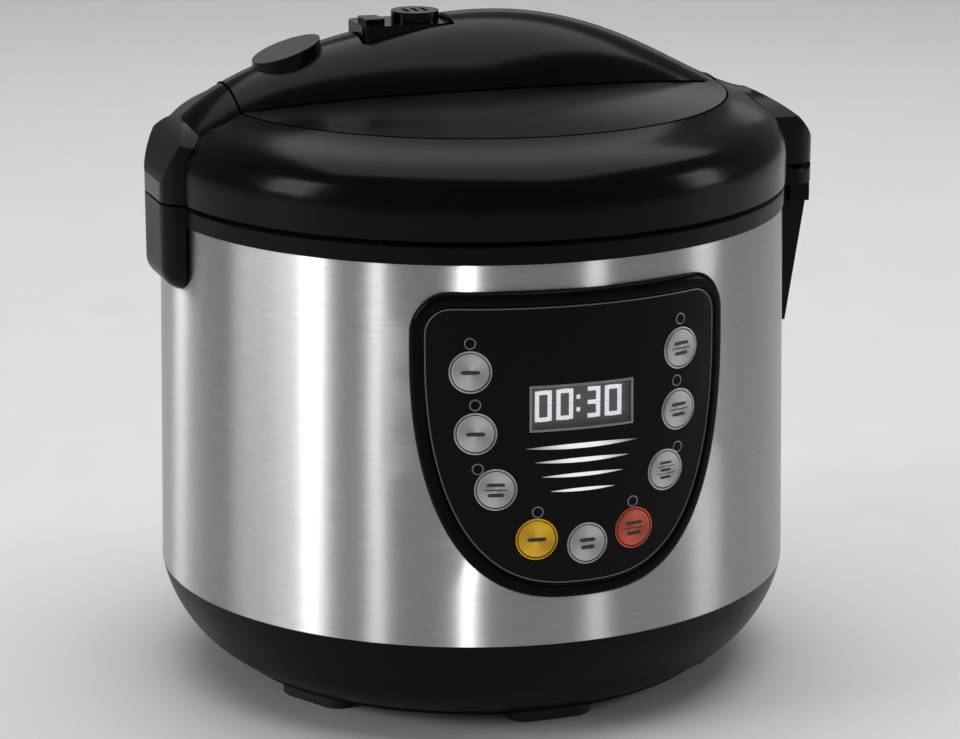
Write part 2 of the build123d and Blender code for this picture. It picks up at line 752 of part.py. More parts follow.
def arched_bar(half_width, foot, crest):
    """Bar along X with an arched top."""
    eaves = crest - EAR_ROOF_DROP
    section = make_face(Curve() + [
        ThreePointArc((-half_width, eaves), (0, crest), (half_width, eaves)),
        Line((half_width, eaves), (half_width, foot)),
        Line((half_width, foot), (-half_width, foot)),
        Line((-half_width, foot), (-half_width, eaves)),
    ])
    return extrude(Plane.YZ * section, BIG)


def lid_ear(side, reach, half_width, inset):
    """Rounded end of the lid over one of the ears."""
    edge = reach - inset
    rise = SPINE_CREST[0][1] if side < 0 else SPINE_CREST[-1][1]
    end = (SPINE_END_X, LID_Z + rise - inset)
    mid = (edge - 0.42 * (edge - end[0]), LID_Z + 8 + 0.56 * (end[1] - LID_Z - 8))
    edges = [
        Line((100, LID_Z - inset), (edge, LID_Z - inset)),
        Line((edge, LID_Z - inset), (edge, LID_Z + 8)),
        ThreePointArc((edge, LID_Z + 8), mid, end),
        Line(end, (100, end[1])),
        Line((100, end[1]), (100, LID_Z - inset)),
    ]
    ear = extrude(Plane.XZ * make_face(Curve() + edges), half_width, both=True)
    ear &= ear_block(1, edge, half_width - inset, LID_Z - inset, end[1] + 1, EAR_CORNER_R - inset)
    ear &= arched_bar(half_width - inset, LID_Z - inset, end[1])
    return ear if side > 0 else Rot(Z=180) * ear


def lid_outside(inset):
    """Dome and both ear ends as one solid."""
    return (dome(inset) + lid_ear(-1, LATCH_REACH, LATCH_HALF_W, inset)
            + lid_ear(1, HINGE_REACH, HINGE_HALF_W, inset))


def lid_shell():
    """Outer lid moulding: rim, shoulder and both ear ends, open under the disc."""
    shell = lid_outside(0) - lid_outside(LID_WALL) - disc(DISC_R, LID_Z, BIG)
    slot_top = HINGE_Z + EAR_SWEEP + 1
    slot = block(HINGE_REACH - LID_WALL - 6.5, HINGE_REACH + 1, -KNUCKLE_HALF_W - 0.6,
                 KNUCKLE_HALF_W + 0.6, LID_Z - 1, slot_top)
    return shell - slot - peg(PIN_R + 0.01, -PIN_HALF - 0.01, PIN_HALF + 0.01, HINGE_X, HINGE_Z)


def lid_disc():
    """Shallow crowned disc in the middle of the lid, with the valve and button openings."""
    crown = DISC_Z + DISC_CROWN
    edges = [
        ThreePointArc((0, crown), (DISC_R / 2, crown - HALF_WAY_DROP), (DISC_R, DISC_Z)),
        Line((DISC_R, DISC_Z), (DISC_R, DISC_Z - LID_WALL)),
        ThreePointArc((DISC_R, DISC_Z - LID_WALL), (DISC_R / 2, crown - LID_WALL - HALF_WAY_DROP),
                      (0, crown - LID_WALL)),
        Line((0, crown - LID_WALL), (0, crown)),
    ]
    plate = revolve(Plane.XZ * make_face(Curve() + edges), Axis.Z) & disc(DISC_R - 0.5, LID_Z, BIG)
    plate -= Pos(VALVE_X, 0, 0) * disc(VALVE_TUBE_R + FIT, 0, BIG)
    return plate - button_bar(2 * SLIP, 0, BIG)


def dome_height(radius):
    """Roughly the height of the dome's surface at a distance from the axis."""
    if radius < DISC_R:
        return DISC_Z + DISC_CROWN * (1.0 - (radius / DISC_R) ** 2)
    share = (radius - DISC_R) / (LID_R - DISC_R)
    return DISC_Z - (DISC_RISE - 10.0) * (1.0 - math.sqrt(max(0.0, 1.0 - share ** 2)))


def arch(inset):
    """Solid under the spine: arched sections carried along X, wider in the middle."""
    sections = []
    for share, rise in SPINE_CREST:
        x = share * (SPINE_END_X - inset)
        half = SPINE_END_HALF_W + SPINE_BULGE * math.cos(math.pi * share / 2) ** 2 - inset
        crest = LID_Z + rise - inset
        foot = min(dome_height(math.hypot(x, half)) - 4.0, crest - 6.0)
        section = make_face(Curve() + [
            ThreePointArc((-half, foot), (0, crest), (half, foot)),
            Line((half, foot), (half, foot - 8.0)),
            Line((half, foot - 8.0), (-half, foot - 8.0)),
            Line((-half, foot - 8.0), (-half, foot)),
        ])
        sections.append(Plane.YZ.offset(x) * section)
    return loft(sections)


RECESS_X0 = VALVE_X - 27.0
RECESS_X1 = VALVE_X + 13.0
RECESS_HALF_W = 14.0
RECESS_FLOOR = SPINE_TOP - 10.5


def lid_spine():
    """Arched hollow band from the latch to the hinge, with the valve's recess and button hole."""
    spine = arch(0) - arch(SPINE_WALL)
    pan = block(RECESS_X0 - 2, RECESS_X1 + 2, -RECESS_HALF_W - 2, RECESS_HALF_W + 2,
                RECESS_FLOOR - 2, BIG)
    spine += pan & arch(0.01)
    spine -= block(RECESS_X0, RECESS_X1, -RECESS_HALF_W, RECESS_HALF_W, RECESS_FLOOR, BIG)
    spine -= Pos(VALVE_X, 0, 0) * disc(VALVE_TUBE_R + FIT, 0, BIG)
    return spine - lid_outside(0) - button_bar(SLIP, 0, BIG)


def button_bar(grow, z0, z1):
    """Upright oval bar with the release button's outline."""
    oval = Ellipse(BUTTON_HALF_L + grow, BUTTON_HALF_W + grow)
    return Pos(BUTTON_X, 0, z0) * extrude(oval, z1 - z0)


BUTTON_TOP = LID_Z + 62.8
BUTTON_LOW_TOP = LID_Z + 53.0   # the button's top slopes down towards the latch
FLANGE_Z = DISC_Z - 7.0
SLIDER_Z = LID_Z + 9.0
SLIDER_T = 3.0
RAMP_X = -90.0
RAMP_RISE = 11.0
GUIDE_Z = SLIDER_Z + SLIDER_T + RAMP_RISE + 0.5
STEM_HALF_W = 6.0


def above_button(rise):
    """Everything over the button's sloping top."""
    x0, x1 = BUTTON_X - BUTTON_HALF_L, BUTTON_X + BUTTON_HALF_L
    slope = (BUTTON_TOP - BUTTON_LOW_TOP) / (x1 - x0)
    edge = make_face(Polyline([
        (x0 - 5, BUTTON_LOW_TOP - 5 * slope + rise), (x1 + 5, BUTTON_TOP + 5 * slope + rise),
        (x1 + 5, BIG), (x0 - 5, BIG)], close=True))
    return extrude(Plane.XZ * edge, BIG, both=True)


def release_button():
    """Oval push button with a retaining flange and a stem that ends in a 45 degree face."""
    button = button_bar(0, FLANGE_Z, BUTTON_TOP) - above_button(0)
    button -= button_bar(-2, FLANGE_Z + 2, BUTTON_TOP) - above_button(-2.5)
    button += button_bar(2, FLANGE_Z, FLANGE_Z + 2)
    ramp_z = SLIDER_Z + SLIDER_T
    low_x = RAMP_X + 4.0
    high_x = RAMP_X + 9.5
    gap = STOP_GAP * math.sqrt(2)
    stem = make_face(Polyline([
        (low_x, ramp_z + 4.0 + gap), (high_x, ramp_z + 9.5 + gap), (high_x, FLANGE_Z), (low_x, FLANGE_Z),
    ], close=True))
    return button + extrude(Plane.XZ * stem, STEM_HALF_W, both=True)


def latch_slider():
    """Sliding bolt: a ramp under the button, a flat bar, and a shank that ends in an outward nose."""
    ramp_z = SLIDER_Z + SLIDER_T
    bar = block(LATCH_SHANK_X - LATCH_SHANK_T, RAMP_X + RAMP_RISE + 3, -LATCH_HALF, LATCH_HALF,
                SLIDER_Z, ramp_z)
    ramp = make_face(Polyline([
        (RAMP_X, ramp_z), (RAMP_X + RAMP_RISE, ramp_z + RAMP_RISE),
        (RAMP_X + RAMP_RISE + 3, ramp_z + RAMP_RISE), (RAMP_X + RAMP_RISE + 3, ramp_z)], close=True))
    bar += extrude(Plane.XZ * ramp, STEM_HALF_W, both=True)
    nose_top = CATCH_UNDER - STOP_GAP
    shank_x0 = LATCH_SHANK_X - LATCH_SHANK_T
    bar += block(shank_x0, LATCH_SHANK_X, -LATCH_HALF, LATCH_HALF, nose_top - 3, SLIDER_Z)
    return bar + block(shank_x0 - LATCH_NOSE, shank_x0, -LATCH_HALF, LATCH_HALF, nose_top - 3, nose_top)


def latch_guide():
    """Bracket on the inner cover: two bridges over the slider, one of them the spring's seat."""
    floor = INNER_COVER_Z + INNER_COVER_T
    wide = LATCH_HALF + SLIP
    seat = block(BUTTON_X - 14, BUTTON_X + 14, -14, 14, GUIDE_Z, GUIDE_Z + 1.5)
    seat -= Pos(BUTTON_X, 0, 0) * disc(9.6, 0, BIG)
    for side in (-1, 1):
        y0, y1 = sorted((side * (wide + 2.5), side * (wide + 5)))
        seat += block(BUTTON_X - 8, BUTTON_X + 8, y0, y1, floor, GUIDE_Z)
    rear = block(-112, -104, -wide - 3, wide + 3, floor, SLIDER_Z + SLIDER_T + 3)
    rear -= block(-BIG, 0, -wide, wide, SLIDER_Z - SLIP, SLIDER_Z + SLIDER_T + SLIP)
    foot = block(-112, BUTTON_X + 8, -wide - 5, -wide - 2.5, floor, floor + 1.5)
    foot += block(-112, BUTTON_X + 8, wide + 2.5, wide + 5, floor, floor + 1.5)
    return seat + rear + foot


def button_spring():
    """Compression spring under the button's flange, round its stem."""
    return coil(11.2, SPRING_WIRE, GUIDE_Z + 1.5, FLANGE_Z, 3, BUTTON_X)


INNER_COVER_Z = LID_Z + 3.0
INNER_COVER_T = 1.5
PLATE_LID_R = POT_OUT_R + 2.0
LID_PLATE_Z = LEDGE_Z + POT_WALL + 1.5
LID_PLATE_T = 1.2
SEAL_R = FLANGE_R + 0.5


def inner_cover():
    """Liner that closes the underside of the lid."""
    cover = disc(LID_R - LID_WALL - FIT, INNER_COVER_Z, INNER_COVER_Z + INNER_COVER_T)
    cover -= block(LATCH_SHANK_X - LATCH_SHANK_T - 1, LATCH_SHANK_X + BUTTON_TRAVEL + 0.8,
                   -LATCH_HALF - 1, LATCH_HALF + 1, LID_Z, BIG)
    cover -= Pos(VALVE_X, 0, 0) * disc(VALVE_TUBE_R + FIT, 0, BIG)
    for x, y in LID_SCREWS:
        cover -= Pos(x, y, 0) * disc(1.6, 0, BIG)
    return cover - disc(2.6, 0, BIG)


LID_SCREWS = [(105, 40), (105, -40), (-95, 60), (-95, -60), (0, 108), (0, -108)]


def lid_screws():
    """Six screws that hold the liner to the lid."""
    screws = []
    for x, y in LID_SCREWS:
        screw = disc(2.8, INNER_COVER_Z - 1.6, INNER_COVER_Z)
        screw += disc(1.5, INNER_COVER_Z, INNER_COVER_Z + INNER_COVER_T + 9)
        screws.append(Pos(x, y, 0) * screw)
    return group(screws)


def inner_plate():
    """Removable steam plate over the pot."""
    plate = disc(PLATE_LID_R, LID_PLATE_Z, LID_PLATE_Z + LID_PLATE_T)
    plate -= Pos(VALVE_X, 0, 0) * disc(5.0, 0, BIG)
    return plate - disc(2.6, 0, BIG)


def plate_knob():
    """Rubber stud in the middle of the lid that holds the steam plate on."""
    knob = disc(7.0, LID_PLATE_Z - 3.0, LID_PLATE_Z)
    knob += disc(2.5, LID_PLATE_Z, INNER_COVER_Z + INNER_COVER_T)
    return knob + disc(5.0, INNER_COVER_Z + INNER_COVER_T, INNER_COVER_Z + INNER_COVER_T + 2)


def seal_ring():
    """Soft seal round the steam plate's rim, just above the pot's flange."""
    low = LEDGE_Z + POT_WALL + STOP_GAP
    return turned([
        (SEAL_R, low), (SEAL_R, low + 4.4), (PLATE_LID_R, low + 4.4), (PLATE_LID_R, low + 0.6),
        (PLATE_LID_R - 2.5, low + 0.6), (PLATE_LID_R - 2.5, low),
    ])


def steam_valve_base():
    """Steam tube from the liner up into the spine's recess, narrower where the cap fits."""
    low = INNER_COVER_Z - 2.0
    base = tube(VALVE_TUBE_R, 5.0, low, RECESS_FLOOR)
    base += tube(7.0, 5.0, RECESS_FLOOR, RECESS_FLOOR + 5)
    return Pos(VALVE_X, 0, 0) * base


def steam_valve_cap():
    """Lift-off valve cap: a block in the recess, a round vent on top and a thumb tab."""
    z0 = RECESS_FLOOR + SLIP
    body = block(RECESS_X0 + 1, RECESS_X1 - 1, -RECESS_HALF_W + 1, RECESS_HALF_W - 1, z0, z0 + 7.5)
    body = fillet(body.edges().filter_by(Axis.Z), 4.0)
    body += Pos(VALVE_X, 0, 0) * disc(VALVE_CAP_R, z0, SPINE_TOP + 1.5)
    body += block(RECESS_X0 + 4, RECESS_X0 + 12, -6, 6, z0, z0 + 9.5)
    body -= Pos(VALVE_X, 0, 0) * disc(7.0 + SLIP, z0 - 1, RECESS_FLOOR + 7)
    for x in (-4, 0, 4):
        body -= Pos(VALVE_X + x, 0, 0) * extrude(SlotOverall(9, 1.8, 90), BIG)
    return body


def hinge_pin():
    """Steel pin through the lid's ear and the tower's knuckle."""
    return peg(PIN_R, -PIN_HALF, PIN_HALF, HINGE_X, HINGE_Z)


def hinge_spring():
    """Torsion spring on the hinge pin, drawn as the sleeve its turns fill."""
    return peg(3.9, 10.5, 17, HINGE_X, HINGE_Z) - peg(PIN_R + 0.2, 10, 18, HINGE_X, HINGE_Z)


def all_nodes():
    """Every piece by its node name."""
    makers = [
        base_shell, bottom_cover, foot_pads, base_screws, mains_inlet, steel_drum, top_ring,
        latch_catch, latch_pillar, hinge_tower, condensate_cup, panel_bezel, panel_face,
        display_window, accent_stripes, keypad_carrier, membrane_circuit, switch_domes,
        indicator_lenses, display_module, display_digits, control_board, cooking_pot, inner_well,
        heater_plate, heater_posts, sensor_cap, sensor_sleeve, sensor_spring, power_board,
        board_posts, transformer, heater_relay, capacitors, lid_shell, lid_disc,
        lid_spine, release_button, latch_slider, latch_guide, button_spring, inner_cover,
        lid_screws, inner_plate, plate_knob, seal_ring, steam_valve_base, steam_valve_cap,
        hinge_pin, hinge_spring,
    ]
    nodes = {maker.__name__: maker() for maker in makers}
    nodes["inlet_blades"] = inlet_blades(0)
    for name in KEYS:
        nodes[name] = key(name)
    return nodes


def export_nodes():
    """Moves every piece so that the outline is centred, and writes one file per node."""
    os.makedirs("parts", exist_ok=True)
    for name, shape in all_nodes().items():
        export_step(Pos(-AXIS_SHIFT, 0, 0) * shape, f"parts/{name}.step")


if __name__ == "__main__":
    export_nodes()
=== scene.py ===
"""Multicooker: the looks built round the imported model."""

import bmesh
import bpy
import numpy as np
from bpy.props import FloatProperty, FloatVectorProperty, IntProperty, PointerProperty
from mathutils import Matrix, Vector


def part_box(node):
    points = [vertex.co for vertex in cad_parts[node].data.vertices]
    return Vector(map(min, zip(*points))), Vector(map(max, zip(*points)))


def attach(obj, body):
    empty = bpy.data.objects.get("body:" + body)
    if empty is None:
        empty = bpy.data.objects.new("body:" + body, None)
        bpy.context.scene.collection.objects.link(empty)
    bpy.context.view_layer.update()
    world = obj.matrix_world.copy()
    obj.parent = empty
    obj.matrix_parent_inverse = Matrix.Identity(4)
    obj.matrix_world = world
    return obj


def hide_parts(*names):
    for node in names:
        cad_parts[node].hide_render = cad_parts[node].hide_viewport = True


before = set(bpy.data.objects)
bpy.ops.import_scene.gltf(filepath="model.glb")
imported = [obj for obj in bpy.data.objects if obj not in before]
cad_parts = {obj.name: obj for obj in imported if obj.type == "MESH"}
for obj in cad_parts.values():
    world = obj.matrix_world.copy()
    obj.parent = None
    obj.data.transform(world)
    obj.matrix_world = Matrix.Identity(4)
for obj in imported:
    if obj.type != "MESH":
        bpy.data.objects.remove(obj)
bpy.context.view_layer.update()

bl_info = {
    "name": "Multicooker",
    "version": (1, 0, 0),
    "blender": (4, 5, 0),
    "location": "3D View > Sidebar > Multicooker",
    "description": "Panel, keys, lid and finishes of a round countertop multicooker",
    "category": "Add Mesh",
}

MM = 0.001
DRUM_LOW, DRUM_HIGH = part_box("steel_drum")
AXIS_X = (DRUM_LOW[0] + DRUM_HIGH[0]) / 2
DRUM_R = (DRUM_HIGH[0] - DRUM_LOW[0]) / 2
DRUM_Z0 = DRUM_LOW[2]
DRUM_Z1 = DRUM_HIGH[2]
PANEL_LOW, PANEL_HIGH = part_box("panel_bezel")
WINDOW_LOW, WINDOW_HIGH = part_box("display_window")
KEY_NAMES = [
    "key_fry", "key_pilaf", "key_oatmeal", "key_timer", "key_cook_time",
    "key_reheat", "key_soup", "key_stew", "key_bake",
]


def prop_size(name, default, description):
    """A length property in metres."""
    return FloatProperty(name=name, description=description, default=default, unit="LENGTH")


def prop_colour(name, default, description):
    """A linear colour property."""
    return FloatVectorProperty(name=name, description=description, default=default,
                               subtype="COLOR", size=3, min=0.0, max=1.0)


class CookerSizes(bpy.types.PropertyGroup):
    """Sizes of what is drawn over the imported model."""

    drum_top_r: prop_size("Drum top radius", 132 * MM, "Radius of the steel drum at its upper edge")
    frame_width: prop_size("Frame width", 6 * MM, "Width of the panel's black frame")
    frame_proud: prop_size("Frame height", 2.8 * MM, "How far the frame stands off the drum")
    face_proud: prop_size("Face height", 2.0 * MM, "How far the gloss face stands off the drum")
    corner: prop_size("Panel corner", 17 * MM, "Radius of the panel's two upper corners")
    shoulder: prop_size("Panel shoulder", 165 * MM, "Height at which the panel is widest")
    key_r: prop_size("Key radius", 7.5 * MM, "Radius of a key's cap")
    ring_r: prop_size("Key ring", 8.5 * MM, "Outer radius of the ring round a key")
    line: prop_size("Line", 0.55 * MM, "Width of the printed lines")
    camera_lens: FloatProperty(name="Lens", description="Focal length on a 36 mm sensor",
                               default=119.85, min=10.0)
    rim_steps: IntProperty(name="Rim steps", description="Points round a key's rim", default=96,
                           min=24)


class CookerColours(bpy.types.PropertyGroup):
    """Colours of the finishes."""

    gloss: prop_colour("Gloss black", (0.0025, 0.0025, 0.0027), "Polished lid and panel")
    satin: prop_colour("Satin black", (0.0035, 0.0035, 0.0037), "Collar, base and ears")
    steel: prop_colour("Steel", (0.40, 0.398, 0.394), "Brushed drum")
    key_grey: prop_colour("Key grey", (0.50, 0.50, 0.505), "Plain keys")
    key_amber: prop_colour("Key amber", (0.98, 0.50, 0.015), "Delayed start key")
    key_red: prop_colour("Key red", (0.60, 0.095, 0.055), "Cancel key")
    mark: prop_colour("Mark", (0.03, 0.03, 0.032), "Printed marks on the keys")
    digit: prop_colour("Digit", (0.93, 0.96, 1.0), "Lit digits")
    display: prop_colour("Display", (0.15, 0.154, 0.16), "Display ground")
    floor: prop_colour("Floor", (0.86, 0.86, 0.86), "Plain pale floor")


def sizes():
    """The scene's size settings."""
    return bpy.context.scene.cooker_sizes


def colours():
    """The scene's colour settings."""
    return bpy.context.scene.cooker_colours


# ---- meshes from arrays ----
def grid_faces(rows, cols, close_rows, close_cols):
    """Quads of a rows x cols grid, joined round at its ends where asked."""
    i = np.arange(rows if close_rows else rows - 1)
    j = np.arange(cols if close_cols else cols - 1)
    i, j = np.meshgrid(i, j, indexing="ij")
    i2, j2 = (i + 1) % rows, (j + 1) % cols
    quads = np.stack([i * cols + j, i2 * cols + j, i2 * cols + j2, i * cols + j2], axis=-1)
    return quads.reshape(-1, 4)


def surface(name, points, close_rows=False, close_cols=False, uv=None, flip=False):
    """One object from a grid of points; poles and repeated points are merged afterwards."""
    rows, cols = points.shape[:2]
    quads = grid_faces(rows, cols, close_rows, close_cols)
    if flip:
        quads = quads[:, ::-1]
    mesh = bpy.data.meshes.new(name)
    mesh.vertices.add(rows * cols)
    mesh.vertices.foreach_set("co", points.reshape(-1).astype(np.float32))
    mesh.loops.add(quads.size)
    mesh.loops.foreach_set("vertex_index", quads.reshape(-1).astype(np.int32))
    mesh.polygons.add(len(quads))
    mesh.polygons.foreach_set("loop_start", np.arange(0, quads.size, 4, dtype=np.int32))
    mesh.update(calc_edges=True)
    if uv is not None:
        layer = mesh.uv_layers.new(name="UVMap")
        layer.data.foreach_set("uv", uv.reshape(-1, 2)[quads.reshape(-1)].reshape(-1).astype(np.float32))
    weld(mesh)
    mesh.shade_smooth()
    piece = bpy.data.objects.new(name, mesh)
    bpy.context.scene.collection.objects.link(piece)
    return piece


def weld(mesh):
    """Merges points that coincide and drops the empty faces."""
    work = bmesh.new()
    work.from_mesh(mesh)
    bmesh.ops.remove_doubles(work, verts=work.verts, dist=1e-6)
    bmesh.ops.dissolve_degenerate(work, edges=work.edges, dist=1e-7)
    work.to_mesh(mesh)
    work.free()
    mesh.validate()


def joined(name, pieces):
    """Several objects made into one."""
    with bpy.context.temp_override(active_object=pieces[0], selected_editable_objects=pieces,
                                   object=pieces[0]):
        bpy.ops.object.join()
    pieces[0].name = name
    pieces[0].data.name = name
    return pieces[0]


# ---- places on the drum ----
def drum_radius(z):
    """Outer radius of the tapered drum at height z."""
    share = (z - DRUM_Z0) / (DRUM_Z1 - DRUM_Z0)
    return DRUM_R + (sizes().drum_top_r - DRUM_R) * share


def wall_point(arc, z, proud):
    """Points at an arc length round the drum and a height, standing proud of its surface."""
    angle = arc / DRUM_R
    r = drum_radius(z) + proud
    return np.stack([AXIS_X + r * np.sin(angle), -r * np.cos(angle), z + 0 * r], axis=-1)


def shield_outline(inset, steps):
    """Panel outline: W cos(a)^0.724 wide at H sin(a)^0.909 below the shoulder, round corners on top."""
    top = PANEL_HIGH[2] - inset
    half = DRUM_R * np.arcsin((PANEL_HIGH[0] - AXIS_X) / DRUM_R) - inset
    depth = sizes().shoulder - PANEL_LOW[2] - inset
    corner = sizes().corner - inset
    a = np.linspace(0, np.pi / 2, steps)
    w = half * np.cos(a).clip(0) ** 0.724
    z = sizes().shoulder - depth * np.sin(a) ** 0.909
    c = np.linspace(0, np.pi / 2, steps // 3)
    arc_w = half - corner + corner * np.cos(c)
    arc_z = top - corner + corner * np.sin(c)
    flat = np.linspace(half - corner, 0, steps // 3)[1:]
    right_w = np.concatenate([w[::-1], arc_w, flat])
    right_z = np.concatenate([z[::-1], arc_z, 0 * flat + top])
    return (np.concatenate([right_w, -right_w[-2:0:-1]]),
            np.concatenate([right_z, right_z[-2:0:-1]]))


def even_outline(inset, count):
    """The panel outline resampled to evenly spaced points."""
    w, z = shield_outline(inset, 90)
    w, z = np.append(w, w[0]), np.append(z, z[0])
    run = np.concatenate([[0], np.cumsum(np.hypot(np.diff(w), np.diff(z)))])
    at = np.linspace(0, run[-1], count, endpoint=False)
    return np.interp(at, run, w), np.interp(at, run, z)


def outline_ring(name, sections, count=420):
    """A closed ring carried round the panel: sections are (inset, proud) points."""
    rows = []
    for inset, proud in sections:
        w, z = even_outline(inset, count)
        rows.append(wall_point(w, z, proud))
    return surface(name, np.array(rows), close_rows=True, close_cols=True, flip=True)


def disc_frame(arc, z, proud):
    """Centre and two directions (sideways, up) of a round piece on the wall."""
    angle = arc / DRUM_R
    out = np.array([np.sin(angle), -np.cos(angle), 0.0])
    side = np.array([np.cos(angle), np.sin(angle), 0.0])
    centre = np.array([AXIS_X, 0, z]) + out * (drum_radius(z) + proud)
    return centre, side, np.array([0, 0, 1.0]), out


def turned_on_wall(name, arc, z, profile, steps, closed=False):
    """A profile of (radius, height) points turned about an axis that points out of the wall."""
    centre, side, up, out = disc_frame(arc, z, 0.0)
    turn = np.linspace(0, 2 * np.pi, steps, endpoint=False)
    r = np.array([p[0] for p in profile])[:, None, None]
    h = np.array([p[1] for p in profile])[:, None, None]
    ring = np.cos(turn)[None, :, None] * side + np.sin(turn)[None, :, None] * up
    points = centre + r * ring + h * out
    uv = np.stack(np.broadcast_arrays(turn[None, :] / (2 * np.pi), r[..., 0] * 100), axis=-1)
    return surface(name, points, close_rows=closed, close_cols=True, uv=uv)


def node_centre(name):
    """Middle of a CAD node's box."""
    low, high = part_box(name)
    return (np.array(low) + np.array(high)) / 2


def arc_of(point):
    """Arc length round the drum of a point."""
    return DRUM_R * np.arctan2(point[0] - AXIS_X, -point[1])


# ---- materials ----
def material(name, colour, **settings):
    """A principled material with constants on its own sockets; returns it, its tree and shader."""
    mat = bpy.data.materials.new(name)
    mat.use_nodes = True
    tree = mat.node_tree
    shader = tree.nodes["Principled BSDF"]
    shader.inputs["Base Color"].default_value = (*colour, 1)
    for key, value in settings.items():
        shader.inputs[key.replace("_", " ").title().replace("Ior", "IOR")].default_value = value
    return mat, tree, shader


def node(tree, kind, **values):
    """A shader node with some of its inputs or settings set."""
    made = tree.nodes.new(kind)
    for key, value in values.items():
        if key in made.inputs:
            made.inputs[key].default_value = value
        else:
            setattr(made, key, value)
    return made


def place(tree, scale, turn=(0, 0, 0)):
    """Object coordinates, scaled and turned."""
    coord = tree.nodes.new("ShaderNodeTexCoord")
    mapping = tree.nodes.new("ShaderNodeMapping")
    mapping.inputs["Scale"].default_value = scale
    mapping.inputs["Rotation"].default_value = turn
    tree.links.new(coord.outputs["Object"], mapping.inputs["Vector"])
    return mapping.outputs["Vector"]


def noise(tree, vector, scale, detail=3.0, rough=0.5):
    """A noise texture's factor."""
    made = node(tree, "ShaderNodeTexNoise", Scale=scale, Detail=detail, Roughness=rough)
    tree.links.new(vector, made.inputs["Vector"])
    return made.outputs["Fac"]


def spread(tree, factor, low, high, near=0.3, far=0.7):
    """A factor mapped to a range."""
    made = tree.nodes.new("ShaderNodeMapRange")
    for key, value in (("From Min", near), ("From Max", far), ("To Min", low), ("To Max", high)):
        made.inputs[key].default_value = value
    tree.links.new(factor, made.inputs["Value"])
    return made.outputs["Result"]


def bump(tree, shader, factor, distance, strength=1.0, under=None):
    """A bump from a factor, on the shader's normal."""
    made = node(tree, "ShaderNodeBump", Strength=strength, Distance=distance)
    tree.links.new(factor, made.inputs["Height"])
    if under is not None:
        tree.links.new(under, made.inputs["Normal"])
    tree.links.new(made.outputs["Normal"], shader.inputs["Normal"])
    return made.outputs["Normal"]


def gloss_black():
    """Polished black plastic: faint orange peel, fine dust in the gloss."""
    mat, tree, shader = material("gloss_black", colours().gloss, specular_ior_level=0.10)
    fine = noise(tree, place(tree, (1, 1, 1)), 260.0, 4.0)
    broad = noise(tree, place(tree, (1, 1, 1)), 22.0, 2.0)
    tree.links.new(spread(tree, fine, 0.10, 0.14), shader.inputs["Roughness"])
    bump(tree, shader, broad, 0.00002, 0.3)
    return mat


def frame_black():
    """Darker moulded gloss of the panel's frame."""
    mat, tree, shader = material("frame_black", colours().gloss, specular_ior_level=0.055)
    fine = noise(tree, place(tree, (1, 1, 1)), 700.0, 3.0)
    tree.links.new(spread(tree, fine, 0.16, 0.22), shader.inputs["Roughness"])
    bump(tree, shader, fine, 0.000004, 0.2)
    return mat


def painted_gap_shade():
    """Painted shade: the matt black laid in the shadow gaps of the lid."""
    mat, tree, shader = material("painted_gap_shade", (0.0008, 0.0008, 0.0008), specular_ior_level=0.0)
    fine = noise(tree, place(tree, (1, 1, 1)), 900.0, 2.0)
    tree.links.new(spread(tree, fine, 0.8, 0.95), shader.inputs["Roughness"])
    return mat


def silver_stripe_painted_highlight():
    """Printed silver stripes with a painted highlight: colour and a faint painted glow fade from bright
    in the middle to grey at their ends.
    """
    low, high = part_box("accent_stripes")
    middle, half = (low[0] + high[0]) / 2, (high[0] - low[0]) / 2
    mat, tree, shader = material("silver_stripe_painted_highlight", (0.8, 0.8, 0.8), roughness=0.35)
    coord = tree.nodes.new("ShaderNodeTexCoord")
    split = tree.nodes.new("ShaderNodeSeparateXYZ")
    tree.links.new(coord.outputs["Object"], split.inputs[0])
    away = node(tree, "ShaderNodeMath", operation="SUBTRACT")
    away.inputs[1].default_value = middle
    tree.links.new(split.outputs["X"], away.inputs[0])
    size = node(tree, "ShaderNodeMath", operation="ABSOLUTE")
    tree.links.new(away.outputs[0], size.inputs[0])
    grain = noise(tree, place(tree, (1, 1, 1)), 600.0, 2.0)
    # painted highlight: near white in the middle, dark grey at the ends, used as colour and as glow
    mix = node(tree, "ShaderNodeMix", data_type="RGBA")
    mix.inputs[6].default_value = (0.95, 0.95, 0.96, 1)
    mix.inputs[7].default_value = (0.10, 0.10, 0.105, 1)
    tree.links.new(spread(tree, size.outputs[0], 0.0, 1.0, 0.25 * half, 1.0 * half), mix.inputs[0])
    tree.links.new(mix.outputs[2], shader.inputs["Base Color"])
    tree.links.new(mix.outputs[2], shader.inputs["Emission Color"])
    tree.links.new(spread(tree, grain, 0.3, 0.4), shader.inputs["Roughness"])
    shader.inputs["Emission Strength"].default_value = 0.45
    return mat


def lid_black():
    """Softly polished lid plastic with a broad, slightly hazy gloss."""
    mat, tree, shader = material("lid_black", colours().gloss, specular_ior_level=0.13)
    fine = noise(tree, place(tree, (1, 1, 1)), 420.0, 4.0)
    broad = noise(tree, place(tree, (1, 1, 1)), 14.0, 2.0)
    tree.links.new(spread(tree, fine, 0.17, 0.21), shader.inputs["Roughness"])
    bump(tree, shader, broad, 0.00002, 0.25)
    return mat


def satin_black():
    """Moulded black plastic with a fine spark-eroded grain."""
    mat, tree, shader = material("satin_black", colours().satin, specular_ior_level=0.10)
    grain = noise(tree, place(tree, (1, 1, 1)), 1500.0, 3.0, 0.6)
    patch = noise(tree, place(tree, (1, 1, 1)), 40.0, 3.0)
    tree.links.new(spread(tree, patch, 0.30, 0.38), shader.inputs["Roughness"])
    bump(tree, shader, grain, 0.00001, 0.25)
    return mat


